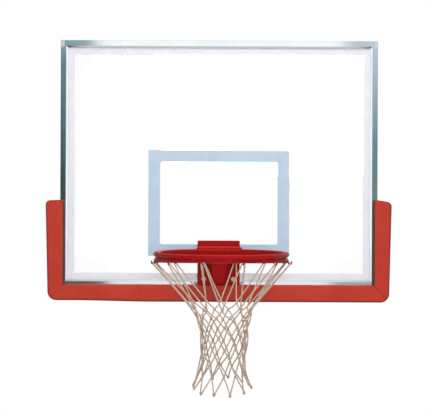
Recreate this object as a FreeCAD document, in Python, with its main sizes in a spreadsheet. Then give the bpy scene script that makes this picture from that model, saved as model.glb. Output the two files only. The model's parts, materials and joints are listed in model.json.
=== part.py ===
import FreeCAD, Part
import math
import os
import Sketcher

# A rectangular glass basketball backboard: aluminium frame, foam edge padding and a fixed double-ring goal.
# Millimetres. +Z is up, the front faces -Y, and the origin is the centre of the four rear mounting holes.

doc = FreeCAD.newDocument("Backboard")

SIZES = {
    # board and its aluminium extrusion
    "board_width": 1371.6,
    "board_height": 1066.8,
    "frame_face": 25.4,
    "frame_depth": 45.0,
    "frame_wall": 3.0,
    "outer_bevel": 1.6,
    "lip_slope": 8.0,
    "lip_edge": 1.2,
    "glass_thick": 12.7,
    "glass_inset": 8.0,
    "gasket_thick": 2.5,
    "gasket_back": 1.4,
    "fit_gap": 0.3,
    # corner keys inside the extrusion
    "key_arm": 50.0,
    "key_screw_place": 32.0,
    "key_screw_dia": 5.0,
    "key_screw_head": 9.0,
    "key_screw_head_thick": 2.5,
    "key_screw_length": 14.0,
    # fired lines on the glass
    "border_width": 36.4,
    "target_width": 609.6,
    "target_height": 457.2,
    "target_line": 50.8,
    "target_rise": 135.3,
    "target_corner": 8.0,
    "line_thick": 0.3,
    "line_gap": 0.05,
    # rear mounting brackets
    "bracket_stand": 30.0,
    "bracket_inset": 114.3,
    "bracket_width": 24.0,
    "bracket_length": 140.0,
    "bracket_crown": 70.0,
    "bracket_thick": 5.0,
    "bracket_hole_dia": 14.0,
    "bracket_screw_dia": 6.0,
    "bracket_screw_hex": 10.0,
    "bracket_screw_head": 4.0,
    "bracket_screw_length": 14.0,
    # goal plate, its bolts and the stack that carries it through the glass
    "plate_width": 182.0,
    "plate_height": 190.5,
    "plate_thick": 6.4,
    "plate_corner": 5.0,
    "plate_gap": 0.5,
    "bolt_across": 127.0,
    "bolt_up": 101.6,
    "bolt_rise": 38.1,
    "bolt_dia": 12.7,
    "bolt_hex": 19.0,
    "bolt_head": 8.0,
    "bolt_stub": 3.5,
    "nut_thick": 11.0,
    "washer_dia": 22.0,
    "washer_thick": 2.5,
    "glass_hole_dia": 25.4,
    "goal_gasket_thick": 6.0,
    "goal_gasket_margin": 3.0,
    "bearing_thick": 6.0,
    "spacer_dia": 20.0,
    "anchor_thick": 6.0,
    "anchor_height": 155.0,
    "anchor_bolt_rise": 18.0,
    "anchor_bolt_inner": 25.0,
    "anchor_bolt_outer": 75.0,
    "anchor_bolt_dia": 6.0,
    "anchor_bolt_hex": 10.0,
    "anchor_bolt_head": 4.0,
    "anchor_bolt_length": 14.0,
    # rings, flange and brace
    "ring_inside": 457.2,
    "ring_bar": 16.0,
    "ring_reach": 381.0,
    "ring_rise": 172.5,
    "ring_front_drop": 11.5,
    "ring_back_drop": 38.5,
    "weld_gap": 0.3,
    "web_thick": 3.0,
    "flange_thick": 5.0,
    "brace_width": 68.0,
    "brace_low_width": 38.0,
    "brace_thick": 5.0,
    "brace_knee": 65.0,
    "brace_toe": 18.0,
    "brace_foot": 6.0,
    # net and its hooks
    "hook_wire": 5.0,
    "hook_out": 7.5,
    "hook_shank": 0.6,
    "hook_bend": 5.5,
    "hook_tip": 6.0,
    "net_cord": 5.0,
    "net_first_drop": 192.6,
    "net_pitch": 31.0,
    "net_pitch_growth": 3.7,
    "net_throat": 75.0,
    "net_mouth": 43.0,
    "net_mouth_depth": 60.0,
    "net_flare": 30.0,
    "net_flare_depth": 43.0,
    # foam edge padding
    "pad_lip": 19.0,
    "pad_cover_side": 21.5,
    "pad_cover_low": 12.0,
    "pad_side_top": 57.3,
    "pad_side_low": 47.0,
    "pad_under": 56.0,
    "pad_rise": 376.0,
    "pad_slope_left": 3.0,
    "pad_slope_right": 22.0,
    "pad_corner": 38.0,
    "pad_end_corner": 16.0,
    "pad_edge": 12.0,
    "pad_seam": 0.4,
    "pad_notch_gap": 2.0,
    "pad_screw_dia": 4.0,
    "pad_screw_head": 8.4,
    "pad_screw_head_thick": 2.5,
    "pad_screw_grip": 8.0,
    "pad_screw_low_inset": 5.5,
    "pad_screw_side_inset": 7.5,
    "pad_screw_side_first": 225.0,
    "pad_screw_side_pitch": 110.0,
    "pad_screw_low_end": 85.8,
}
NET_LOOPS = 12
NET_ROWS = 8
WIRE_SIDES = 8
WEB_TURN = (-25, 205)
LOW_SCREWS_EACH_SIDE = 3

sheet = doc.addObject("Spreadsheet::Sheet", "Sizes")
for row, (alias, number) in enumerate(SIZES.items(), start=1):
    sheet.set(f"A{row}", alias)
    sheet.set(f"B{row}", str(number))
    sheet.setAlias(f"B{row}", alias)
doc.recompute()

# Levels and depths shared by several pieces, worked out from the sheet
HALF_WIDTH = "(Sizes.board_width / 2)"
HALF_HEIGHT = "(Sizes.board_height / 2)"
BOARD_BOTTOM = "(-Sizes.board_height / 2)"
FRAME_REAR = "(-Sizes.bracket_stand)"
FRAME_FRONT = "(-Sizes.bracket_stand - Sizes.frame_depth)"
GLASS_FRONT = f"({FRAME_FRONT} + Sizes.frame_wall + Sizes.gasket_thick)"
GLASS_REAR = f"({GLASS_FRONT} + Sizes.glass_thick)"
POCKET_DEPTH = "(Sizes.glass_thick + 2 * Sizes.gasket_thick)"
POCKET_BACK = f"(Sizes.frame_wall + {POCKET_DEPTH})"
PLATE_REAR = f"({GLASS_FRONT} - Sizes.goal_gasket_thick)"
PLATE_FRONT = f"({PLATE_REAR} - Sizes.plate_thick)"
PLATE_BOTTOM = f"({BOARD_BOTTOM} + Sizes.pad_cover_low + Sizes.plate_gap)"
PLATE_TOP = f"({PLATE_BOTTOM} + Sizes.plate_height)"
ABOVE_FRAME = f"({BOARD_BOTTOM} + Sizes.frame_face + Sizes.fit_gap)"
GOAL_GASKET_HALF = "(Sizes.plate_width / 2 - Sizes.goal_gasket_margin)"
GOAL_GASKET_TOP = f"({PLATE_TOP} - Sizes.goal_gasket_margin)"
BEARING_FRONT = f"({GLASS_REAR} + Sizes.goal_gasket_thick)"
BEARING_REAR = f"({BEARING_FRONT} + Sizes.bearing_thick)"
ANCHOR_REAR = f"({FRAME_REAR} + Sizes.anchor_thick)"
RING_Y = f"({GLASS_FRONT} - Sizes.ring_reach)"
RING_TOP = f"({BOARD_BOTTOM} + Sizes.ring_rise)"
RING_Z = f"({RING_TOP} - Sizes.ring_bar / 2)"
RING_RADIUS = "((Sizes.ring_inside + Sizes.ring_bar) / 2)"
RING_TILT = f"asin((Sizes.ring_back_drop - Sizes.ring_front_drop) / (2 * {RING_RADIUS}))"
LOWER_SETBACK = "sqrt(pow(Sizes.ring_bar + Sizes.weld_gap; 2) - pow(Sizes.ring_front_drop; 2))"
LOWER_Y = f"({RING_Y} + {LOWER_SETBACK})"
LOWER_Z = f"({RING_Z} - (Sizes.ring_front_drop + Sizes.ring_back_drop) / 2)"
FLANGE_UNDER = f"({RING_TOP} + Sizes.weld_gap)"
HOOK_ROOT = "sqrt(pow(Sizes.ring_bar / 2; 2) - pow(Sizes.hook_out - Sizes.hook_wire / 2; 2))"
BRACKET_X = "((Sizes.board_width - Sizes.frame_face) / 2)"
BRACKET_Z = f"({HALF_HEIGHT} - Sizes.bracket_inset)"
FOOT_SCREW = "((Sizes.bracket_length + Sizes.bracket_crown) / 4)"
BOLT_HOLE = "(Sizes.bolt_dia / 2 + Sizes.fit_gap)"
ANCHOR_BOLT_HOLE = "(Sizes.anchor_bolt_dia / 2 + Sizes.fit_gap / 2)"
BRACKET_SCREW_HOLE = "(Sizes.bracket_screw_dia / 2 + Sizes.fit_gap / 2)"
KEY_SCREW_HOLE = "(Sizes.key_screw_dia / 2 + Sizes.fit_gap / 2)"
PAD_SCREW_HOLE = "(Sizes.pad_screw_dia / 2 + Sizes.fit_gap / 2)"
PAD_INNER_X = f"({HALF_WIDTH} - Sizes.pad_cover_side)"
PAD_INNER_Z = f"({BOARD_BOTTOM} + Sizes.pad_cover_low)"
PAD_TOP = f"({BOARD_BOTTOM} + Sizes.pad_rise)"
PAD_BOTTOM = f"({BOARD_BOTTOM} - Sizes.pad_under)"
PAD_FRONT = f"({FRAME_FRONT} - Sizes.fit_gap - Sizes.pad_lip)"
PAD_REAR = f"({FRAME_REAR} + Sizes.fit_gap + Sizes.pad_lip)"

SUBPARTS = []


def new_body(label, exported=True):
    """A body under its own label, kept for the export list unless it is only a tool."""
    body = doc.addObject("PartDesign::Body", label)
    body.Label = label
    if exported:
        SUBPARTS.append(body)
    return body


def place(item, x="0", y="0", z="0"):
    """Bind an object's position to the sheet."""
    for axis, expression in zip("xyz", (x, y, z)):
        item.setExpression(f"Placement.Base.{axis}", expression)


def sketch_on(body, name, role, depth="0"):
    """A sketch on one of the body's origin planes, moved along the plane's normal."""
    sketch = body.newObject("Sketcher::SketchObject", name)
    plane = next(item for item in body.Origin.OriginFeatures if item.Role == role)
    sketch.AttachmentSupport = [(plane, "")]
    sketch.MapMode = "FlatFace"
    sketch.setExpression("AttachmentOffset.Base.z", depth)
    return sketch


def front_sketch(body, name, y="0"):
    """A sketch in the X-Z plane at depth y, seen from the front of the board."""
    return sketch_on(body, name, "XZ_Plane", f"-({y})")


def add_datum(sketch, constraint, expression):
    """Add a driving dimension bound to the sheet."""
    index = sketch.addConstraint(constraint)
    sketch.setExpression(f"Constraints[{index}]", expression)


def set_point(sketch, geometry, point, x, y):
    """Fix a point of the sketch by its two coordinates."""
    add_datum(sketch, Sketcher.Constraint("DistanceX", -1, 1, geometry, point, 1.0), x)
    add_datum(sketch, Sketcher.Constraint("DistanceY", -1, 1, geometry, point, 1.0), y)


def add_loop(sketch, corners):
    """A closed outline of straight sides through corners given as pairs of expressions."""
    first = sketch.GeometryCount
    count = len(corners)
    turn = 2 * math.pi / count
    rough = [FreeCAD.Vector(math.cos(turn * i), math.sin(turn * i), 0) for i in range(count)]
    for i in range(count):
        sketch.addGeometry(Part.LineSegment(rough[i], rough[(i + 1) % count]), False)
    for i in range(count):
        sketch.addConstraint(Sketcher.Constraint("Coincident", first + i, 2, first + (i + 1) % count, 1))
    for i, (x, y) in enumerate(corners):
        set_point(sketch, first + i, 1, x, y)


def add_rectangle(sketch, left, right, low, high):
    """A rectangle between two X and two Y expressions."""
    add_loop(sketch, [(left, low), (right, low), (right, high), (left, high)])


def add_circle(sketch, x, y, radius):
    """A circle bound by its centre and radius."""
    centre = FreeCAD.Vector(0, 0, 0)
    circle = sketch.addGeometry(Part.Circle(centre, FreeCAD.Vector(0, 0, 1), 1.0), False)
    add_datum(sketch, Sketcher.Constraint("Radius", circle, 1.0), radius)
    set_point(sketch, circle, 3, x, y)


def add_polygon(sketch, x, y, reach, sides):
    """A regular polygon given by its centre and the distance to its corners."""
    turns = [360 / sides * i for i in range(sides)]
    add_loop(sketch, [(f"{x} + {reach} * cos({turn})", f"{y} + {reach} * sin({turn})") for turn in turns])


def add_hexagon(sketch, x, y, across):
    """A hexagon given by its width across the flats."""
    add_polygon(sketch, x, y, f"({across} / 2 / cos(30))", 6)


def pad(body, sketch, length, side="One side", backwards=False):
    """Raise the sketch into a solid; backwards turns it against the sketch's normal."""
    feature = body.newObject("PartDesign::Pad", f"{sketch.Name}_pad")
    feature.Profile = sketch
    feature.SideType = side
    feature.Reversed = backwards
    feature.setExpression("Length", length)
    return feature


def pocket(body, sketch, length, side="One side", backwards=False):
    """Cut the sketch out of the body and make sure that something was removed."""
    doc.recompute()
    before = body.Shape.Volume
    feature = body.newObject("PartDesign::Pocket", f"{sketch.Name}_pocket")
    feature.Profile = sketch
    feature.SideType = side
    feature.Reversed = backwards
    feature.setExpression("Length", length)
    doc.recompute()
    if body.Shape.Volume > before - 1e-6:
        raise RuntimeError(f"{feature.Name} cuts nothing")
    return feature


def round_edges(body, edges, radius):
    """Fillet the listed edges of the body's tip."""
    base = body.Tip
    feature = body.newObject("PartDesign::Fillet", f"{body.Name}_round")
    feature.Base = (base, edges)
    feature.setExpression("Radius", radius)
    doc.recompute()
    return feature


def size(alias):
    """The sheet's number for one alias."""
    return float(sheet.get(alias))


def frame_member(label, length, turn, holes):
    """One mitred length of the frame; its outer edge lies on local z = 0 and its front on local y = 0."""
    member = new_body(label)
    member.Placement = FreeCAD.Placement(FreeCAD.Vector(), FreeCAD.Rotation(FreeCAD.Vector(0, 1, 0), turn))
    section = sketch_on(member, f"{label}_section", "YZ_Plane")
    wall, face, bevel = "Sizes.frame_wall", "Sizes.frame_face", "Sizes.outer_bevel"
    lip = f"({face} + Sizes.lip_slope)"
    add_loop(section, [
        ("0", bevel),
        ("0", face),
        (f"{wall} - Sizes.lip_edge", lip),
        (wall, lip),
        (wall, wall),
        (POCKET_BACK, wall),
        (POCKET_BACK, face),
        ("Sizes.frame_depth", face),
        ("Sizes.frame_depth", "0"),
        (bevel, "0"),
    ])
    chamber_front, chamber_rear = f"{POCKET_BACK} + {wall}", f"Sizes.frame_depth - {wall}"
    add_rectangle(section, chamber_front, chamber_rear, wall, f"{face} - {wall}")
    pad(member, section, length, "Symmetric")
    mitres = front_sketch(member, f"{label}_mitres")
    for sign in ("-", ""):
        end = f"{sign}({length} / 2 + {wall})"
        inner = f"{sign}({length} / 2 - {lip} - {wall})"
        add_loop(mitres, [(end, f"-{wall}"), (end, f"{lip} + {wall}"), (inner, f"{lip} + {wall}")])
    pocket(member, mitres, "3 * Sizes.frame_depth", "Symmetric")
    drilled = front_sketch(member, f"{label}_holes", "Sizes.frame_depth")
    for along, inset, radius in holes:
        add_circle(drilled, along, inset, radius)
    pocket(member, drilled, f"2 * {wall}", backwards=True)
    return member


def key_holes(length):
    """The two corner-key screws of one frame member, in the member's own frame."""
    along = f"({length} / 2 - Sizes.key_screw_place)"
    return [(sign + along, "Sizes.frame_face / 2", KEY_SCREW_HOLE) for sign in ("-", "")]


def side_holes(sign):
    """Bracket and padding screws of a side member; sign points local x down the board."""
    holes = []
    middle = "Sizes.frame_face / 2"
    for bracket in ("-", ""):
        for foot in ("-", "+"):
            holes.append((f"{bracket}{BRACKET_Z} {foot} {FOOT_SCREW}", middle, BRACKET_SCREW_HOLE))
    for place_up in PAD_SIDE_SCREWS:
        along = f"{sign}({HALF_HEIGHT} - {place_up})"
        holes.append((along, "Sizes.pad_screw_side_inset", PAD_SCREW_HOLE))
    return holes


PAD_SIDE_SCREWS = [f"(Sizes.pad_screw_side_first + {i} * Sizes.pad_screw_side_pitch)" for i in range(2)]
PAD_LOW_SCREWS = [
    f"{sign}({HALF_WIDTH} - Sizes.pad_screw_low_end) * {i} / {LOW_SCREWS_EACH_SIDE}"
    for sign in ("-", "")
    for i in range(1, LOW_SCREWS_EACH_SIDE + 1)
]
ANCHOR_BOLTS = [
    f"{sign}Sizes.anchor_bolt_{name}" for sign in ("-", "") for name in ("inner", "outer")
]
GOAL_BOLTS = [
    (f"{sign}Sizes.bolt_across / 2", f"({BOARD_BOTTOM} + Sizes.bolt_rise + {row} * Sizes.bolt_up)")
    for sign in ("-", "")
    for row in range(2)
]


def build_frame():
    """Four mitred extrusions round the glass, drilled in the rear; the bottom lip is notched for the goal."""
    width, height = "Sizes.board_width", "Sizes.board_height"
    low_holes = [(x, "Sizes.pad_screw_low_inset", PAD_SCREW_HOLE) for x in PAD_LOW_SCREWS]
    low_holes += [(x, "Sizes.anchor_bolt_rise", ANCHOR_BOLT_HOLE) for x in ANCHOR_BOLTS]
    bottom = frame_member("frame_bottom", width, 0, key_holes(width) + low_holes)
    notch = front_sketch(bottom, "frame_bottom_notch")
    edge = f"({GOAL_GASKET_HALF} + Sizes.fit_gap)"
    add_rectangle(notch, f"-{edge}", edge, "Sizes.frame_face", "Sizes.frame_face + 2 * Sizes.lip_slope")
    pocket(bottom, notch, "4 * Sizes.frame_wall", "Symmetric")
    place(bottom, "0", FRAME_FRONT, f"-{HALF_HEIGHT}")
    top = frame_member("frame_top", width, 180, key_holes(width))
    place(top, "0", FRAME_FRONT, HALF_HEIGHT)
    left = frame_member("frame_left", height, 90, key_holes(height) + side_holes(""))
    place(left, f"-{HALF_WIDTH}", FRAME_FRONT, "0")
    right = frame_member("frame_right", height, -90, key_holes(height) + side_holes("-"))
    place(right, HALF_WIDTH, FRAME_FRONT, "0")


def build_corner_keys():
    """L-shaped keys that join the mitred members inside their rear chamber, and their screws."""
    keys = new_body("corner_keys")
    screws = new_body("corner_key_screws")
    outline = front_sketch(keys, "corner_key_outline")
    drilled = front_sketch(keys, "corner_key_drilled")
    shanks = front_sketch(screws, "corner_key_shanks")
    heads = front_sketch(screws, "corner_key_heads")
    near = "(Sizes.frame_wall + Sizes.fit_gap)"
    far = "(Sizes.frame_face - Sizes.frame_wall - Sizes.fit_gap)"
    for right in ("-", ""):
        for upper in ("-", ""):
            def corner(along, up):
                return (f"{right}({HALF_WIDTH} - {along})", f"{upper}({HALF_HEIGHT} - {up})")
            add_loop(outline, [
                corner(near, near),
                corner("Sizes.key_arm", near),
                corner("Sizes.key_arm", far),
                corner(far, far),
                corner(far, "Sizes.key_arm"),
                corner(near, "Sizes.key_arm"),
            ])
            middle, away = "Sizes.frame_face / 2", "Sizes.key_screw_place"
            for x, z in (corner(middle, away), corner(away, middle)):
                add_circle(drilled, x, z, KEY_SCREW_HOLE)
                add_circle(shanks, x, z, "Sizes.key_screw_dia / 2")
                add_circle(heads, x, z, "Sizes.key_screw_head / 2")
    chamber = f"(Sizes.frame_depth - {POCKET_BACK} - 2 * Sizes.frame_wall)"
    pad(keys, outline, f"{chamber} - 2 * Sizes.fit_gap", backwards=True)
    pocket(keys, drilled, "3 * Sizes.frame_depth", "Symmetric")
    place(keys, "0", f"{FRAME_FRONT} + {POCKET_BACK} + Sizes.frame_wall + Sizes.fit_gap", "0")
    pad(screws, shanks, "Sizes.key_screw_length")
    pad(screws, heads, "Sizes.key_screw_head_thick", backwards=True)
    place(screws, "0", FRAME_REAR, "0")


def build_glass():
    """The tempered pane with its four goal-bolt holes, and the rubber channel round its edge."""
    pane = new_body("glass_panel")
    half_x = f"({HALF_WIDTH} - Sizes.glass_inset)"
    half_z = f"({HALF_HEIGHT} - Sizes.glass_inset)"
    outline = front_sketch(pane, "glass_outline")
    add_rectangle(outline, f"-{half_x}", half_x, f"-{half_z}", half_z)
    for x, z in GOAL_BOLTS:
        add_circle(outline, x, z, "Sizes.glass_hole_dia / 2")
    pad(pane, outline, "Sizes.glass_thick", backwards=True)
    place(pane, "0", GLASS_FRONT, "0")

    gasket = new_body("glazing_gasket")
    strip = front_sketch(gasket, "gasket_strip")
    outer = "(Sizes.frame_wall + Sizes.fit_gap)"
    inner = "(Sizes.frame_face - Sizes.gasket_back)"
    for inset in (outer, inner):
        x, z = f"({HALF_WIDTH} - {inset})", f"({HALF_HEIGHT} - {inset})"
        add_rectangle(strip, f"-{x}", x, f"-{z}", z)
    pad(gasket, strip, POCKET_DEPTH, backwards=True)
    slot = front_sketch(gasket, "gasket_slot", "Sizes.gasket_thick")
    add_rectangle(slot, f"-{half_x}", half_x, f"-{half_z}", half_z)
    pocket(gasket, slot, "Sizes.glass_thick")
    place(gasket, "0", f"{FRAME_FRONT} + Sizes.frame_wall", "0")


def build_lines():
    """The fired border and target on the front of the glass; the target stops at the goal's rubber pad."""
    border = new_body("border_line")
    ring = front_sketch(border, "border_outline")
    outer = "(Sizes.frame_face - Sizes.gasket_back + Sizes.fit_gap)"
    inner = "(Sizes.frame_face + Sizes.border_width)"
    for inset in (outer, inner):
        x, z = f"({HALF_WIDTH} - {inset})", f"({HALF_HEIGHT} - {inset})"
        add_rectangle(ring, f"-{x}", x, f"-{z}", z)
    gasket_edge = f"({GOAL_GASKET_HALF} + Sizes.fit_gap)"
    pad(border, ring, "Sizes.line_thick")
    gap = front_sketch(border, "border_gap")
    add_rectangle(gap, f"-{gasket_edge}", gasket_edge, BOARD_BOTTOM, GOAL_GASKET_TOP)
    pocket(border, gap, "3 * Sizes.line_thick", "Symmetric")
    place(border, "0", f"{GLASS_FRONT} - Sizes.line_gap", "0")

    target = new_body("target_rectangle")
    outline = front_sketch(target, "target_outline")
    low = f"({BOARD_BOTTOM} + Sizes.target_rise)"
    high = f"({low} + Sizes.target_height)"
    half = "(Sizes.target_width / 2)"
    line = "Sizes.target_line"
    add_rectangle(outline, f"-{half}", half, low, high)
    add_rectangle(outline, f"-({half} - {line})", f"{half} - {line}", f"{low} + {line}", f"{high} - {line}")
    pad(target, outline, "Sizes.line_thick")
    doc.recompute()
    inside = size("target_width") / 2 - 1
    corners = [i for i, edge in enumerate(target.Shape.Edges, start=1) if is_corner(edge, inside)]
    round_edges(target, [f"Edge{i}" for i in corners], "Sizes.target_corner")
    cut = front_sketch(target, "target_gap")
    add_rectangle(cut, f"-{gasket_edge}", gasket_edge, BOARD_BOTTOM, f"{GOAL_GASKET_TOP} + Sizes.fit_gap")
    pocket(target, cut, "3 * Sizes.line_thick", "Symmetric")
    place(target, "0", f"{GLASS_FRONT} - Sizes.line_gap", "0")


def drilled_plate(label, half, low, high, thick, front, radius, extra=()):
    """A flat plate between two levels, drilled for the four goal bolts and any extra holes."""
    plate = new_body(label)
    outline = front_sketch(plate, f"{label}_outline")
    add_rectangle(outline, f"-{half}", half, low, high)
    for x, z in GOAL_BOLTS:
        add_circle(outline, x, z, radius)
    for x, z, extra_radius in extra:
        add_circle(outline, x, z, extra_radius)
    pad(plate, outline, thick, backwards=True)
    place(plate, "0", front, "0")
    return plate


def bolt_group(label, places, shank_dia, shank_length, hex_across, head, front):
    """Hexagon bolts with heads in front of the given depth and shanks running back from it."""
    bolts = new_body(label)
    shanks = front_sketch(bolts, f"{label}_shanks")
    heads = front_sketch(bolts, f"{label}_heads")
    for x, z in places:
        add_circle(shanks, x, z, f"{shank_dia} / 2")
        add_hexagon(heads, x, z, hex_across)
    pad(bolts, shanks, shank_length, backwards=True)
    pad(bolts, heads, head)
    place(bolts, "0", front, "0")
    return bolts


def rear_screw_group(label, places, shank_dia, shank_length, hex_across, head, rear):
    """Hexagon screws driven from behind: heads behind the given depth, shanks running forward."""
    screws = new_body(label)
    shanks = front_sketch(screws, f"{label}_shanks")
    heads = front_sketch(screws, f"{label}_heads")
    for x, z in places:
        add_circle(shanks, x, z, f"{shank_dia} / 2")
        add_hexagon(heads, x, z, hex_across)
    pad(screws, shanks, shank_length)
    pad(screws, heads, head, backwards=True)
    place(screws, "0", rear, "0")
    return screws


def build_goal_stack():
    """Everything the goal bolts clamp, from the plate in front of the glass to the one behind the frame."""
    half_plate = "(Sizes.plate_width / 2)"
    plate = drilled_plate(
        "goal_back_plate", half_plate, PLATE_BOTTOM, PLATE_TOP, "Sizes.plate_thick", PLATE_FRONT, BOLT_HOLE)
    doc.recompute()
    corners = [i for i, edge in enumerate(plate.Shape.Edges, start=1) if is_corner(edge, size("plate_width"))]
    round_edges(plate, [f"Edge{i}" for i in corners], "Sizes.plate_corner")
    drilled_plate(
        "goal_gasket_front", GOAL_GASKET_HALF, ABOVE_FRAME, GOAL_GASKET_TOP,
        "Sizes.goal_gasket_thick", PLATE_REAR, BOLT_HOLE)
    drilled_plate(
        "goal_gasket_rear", GOAL_GASKET_HALF, ABOVE_FRAME, GOAL_GASKET_TOP,
        "Sizes.goal_gasket_thick", GLASS_REAR, BOLT_HOLE)
    drilled_plate(
        "goal_bearing_plate", GOAL_GASKET_HALF, ABOVE_FRAME, GOAL_GASKET_TOP,
        "Sizes.bearing_thick", BEARING_FRONT, BOLT_HOLE)
    anchor_low = f"({PAD_INNER_Z} + Sizes.plate_gap)"
    anchor_holes = [(x, f"{BOARD_BOTTOM} + Sizes.anchor_bolt_rise", ANCHOR_BOLT_HOLE) for x in ANCHOR_BOLTS]
    drilled_plate(
        "goal_anchor_plate", GOAL_GASKET_HALF, anchor_low, f"{anchor_low} + Sizes.anchor_height",
        "Sizes.anchor_thick", FRAME_REAR, BOLT_HOLE, anchor_holes)

    sleeves("glass_bushings", "(Sizes.glass_hole_dia / 2 - Sizes.fit_gap)", "Sizes.glass_thick", GLASS_FRONT)
    sleeves("goal_spacer_tubes", "(Sizes.spacer_dia / 2)", f"{FRAME_REAR} - {BEARING_REAR}", BEARING_REAR)
    head_seat = f"({PLATE_FRONT} - Sizes.washer_thick)"
    washers = sleeves("goal_washers", "(Sizes.washer_dia / 2)", "Sizes.washer_thick", head_seat)
    rear = front_sketch(washers, "goal_washers_rear", f"{ANCHOR_REAR} - {head_seat}")
    for x, z in GOAL_BOLTS:
        add_circle(rear, x, z, "Sizes.washer_dia / 2")
        add_circle(rear, x, z, BOLT_HOLE)
    pad(washers, rear, "Sizes.washer_thick", backwards=True)

    nut_front = f"({ANCHOR_REAR} + Sizes.washer_thick)"
    bolt_length = f"({nut_front} + Sizes.nut_thick + Sizes.bolt_stub - {head_seat})"
    bolt_group(
        "goal_bolts", GOAL_BOLTS, "Sizes.bolt_dia", bolt_length,
        "Sizes.bolt_hex", "Sizes.bolt_head", head_seat)
    nuts = new_body("goal_nuts")
    outline = front_sketch(nuts, "goal_nuts_outline")
    for x, z in GOAL_BOLTS:
        add_hexagon(outline, x, z, "Sizes.bolt_hex")
        add_circle(outline, x, z, BOLT_HOLE)
    pad(nuts, outline, "Sizes.nut_thick", backwards=True)
    place(nuts, "0", nut_front, "0")
    anchor_places = [(x, f"({BOARD_BOTTOM} + Sizes.anchor_bolt_rise)") for x in ANCHOR_BOLTS]
    rear_screw_group(
        "anchor_bolts", anchor_places, "Sizes.anchor_bolt_dia", "Sizes.anchor_bolt_length",
        "Sizes.anchor_bolt_hex", "Sizes.anchor_bolt_head", ANCHOR_REAR)


def is_corner(edge, reach):
    """True for the straight edges that run through a plate's thickness within a reach of its middle."""
    start, end = edge.Vertexes[0].Point, edge.Vertexes[-1].Point
    straight = len(edge.Vertexes) == 2 and abs(start.x - end.x) + abs(start.z - end.z) < 1e-6
    return straight and abs(start.x) < reach


def sleeves(label, outer, length, front):
    """Four tubes or washers round the goal bolts."""
    group = new_body(label)
    outline = front_sketch(group, f"{label}_outline")
    for x, z in GOAL_BOLTS:
        add_circle(outline, x, z, outer)
        add_circle(outline, x, z, BOLT_HOLE)
    pad(group, outline, length, backwards=True)
    place(group, "0", front, "0")
    return group


def build_rings():
    """Two rings of round bar: the lower one is tilted and tucks behind the upper one at the front."""
    upper = doc.addObject("Part::Torus", "upper_ring")
    place(upper, "0", RING_Y, RING_Z)
    lower = doc.addObject("Part::Torus", "lower_ring")
    lower.Placement = FreeCAD.Placement(FreeCAD.Vector(), FreeCAD.Rotation(FreeCAD.Vector(-1, 0, 0), 1))
    lower.setExpression("Placement.Rotation.Angle", RING_TILT)
    place(lower, "0", LOWER_Y, LOWER_Z)
    for ring in (upper, lower):
        ring.Label = ring.Name
        ring.setExpression("Radius1", RING_RADIUS)
        ring.setExpression("Radius2", "Sizes.ring_bar / 2")
        SUBPARTS.append(ring)
    return upper, lower


def build_ring_web(upper_ring, lower_ring):
    """The strip of steel that closes the space between the rings, from side to side round the back."""
    radius = (size("ring_inside") + size("ring_bar")) / 2
    depth = size("ring_bar") / 2 + size("weld_gap")

    def section(ring, height):
        """A band of the web's thickness along the ring, above or below the bar."""
        arcs = []
        for reach in (radius - size("web_thick") / 2, radius + size("web_thick") / 2):
            centre = FreeCAD.Vector(0, 0, height)
            arcs.append(Part.makeCircle(reach, centre, FreeCAD.Vector(0, 0, 1), *WEB_TURN))
        inner, outer = arcs
        start = Part.makeLine(inner.Vertexes[0].Point, outer.Vertexes[0].Point)
        end = Part.makeLine(outer.Vertexes[-1].Point, inner.Vertexes[-1].Point)
        band = Part.Wire([start, outer, end, inner])
        band.Placement = ring.Placement
        return band

    web = doc.addObject("Part::Feature", "ring_web")
    web.Label = "ring_web"
    web.Shape = Part.makeLoft([section(upper_ring, -depth), section(lower_ring, depth)], True, True)
    SUBPARTS.append(web)


def build_flange_and_brace():
    """The flange over the back of the upper ring and the tapered channel that carries the lower ring."""
    flange = new_body("goal_flange")
    outline = sketch_on(flange, "flange_outline", "XY_Plane")
    half = "(Sizes.plate_width / 2)"
    add_rectangle(outline, f"-{half}", half, f"{RING_Y} + {RING_RADIUS} / 2", PLATE_FRONT)
    pad(flange, outline, "Sizes.flange_thick")
    cope = sketch_on(flange, "flange_cope", "XY_Plane")
    add_circle(cope, "0", RING_Y, RING_RADIUS)
    pocket(flange, cope, "3 * Sizes.flange_thick", "Symmetric")
    place(flange, "0", "0", FLANGE_UNDER)

    brace = new_body("goal_brace")
    front = f"({LOWER_Y} + {RING_RADIUS} + Sizes.ring_bar / 2 + Sizes.weld_gap)"
    toe = f"({PLATE_FRONT} - Sizes.brace_toe)"
    levels = [
        ("top", FLANGE_UNDER, front, "Sizes.brace_width"),
        ("knee", f"({FLANGE_UNDER} - Sizes.brace_knee)", front, "Sizes.brace_width"),
        ("foot", f"({PLATE_BOTTOM} + Sizes.brace_foot)", toe, "Sizes.brace_low_width"),
    ]
    wall = "Sizes.brace_thick"
    sections = []
    for name, height, reach, width in levels:
        section = sketch_on(brace, f"brace_{name}", "XY_Plane", height)
        outer, inner = f"({width} / 2)", f"({width} / 2 - {wall})"
        add_loop(section, [
            (f"-{outer}", PLATE_FRONT),
            (f"-{outer}", reach),
            (outer, reach),
            (outer, PLATE_FRONT),
            (inner, PLATE_FRONT),
            (inner, f"{reach} + {wall}"),
            (f"-{inner}", f"{reach} + {wall}"),
            (f"-{inner}", PLATE_FRONT),
        ])
        sections.append(section)
    channel = brace.newObject("PartDesign::AdditiveLoft", "brace_channel")
    channel.Profile = sections[0]
    channel.Sections = sections[1:]
    channel.Ruled = True


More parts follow.
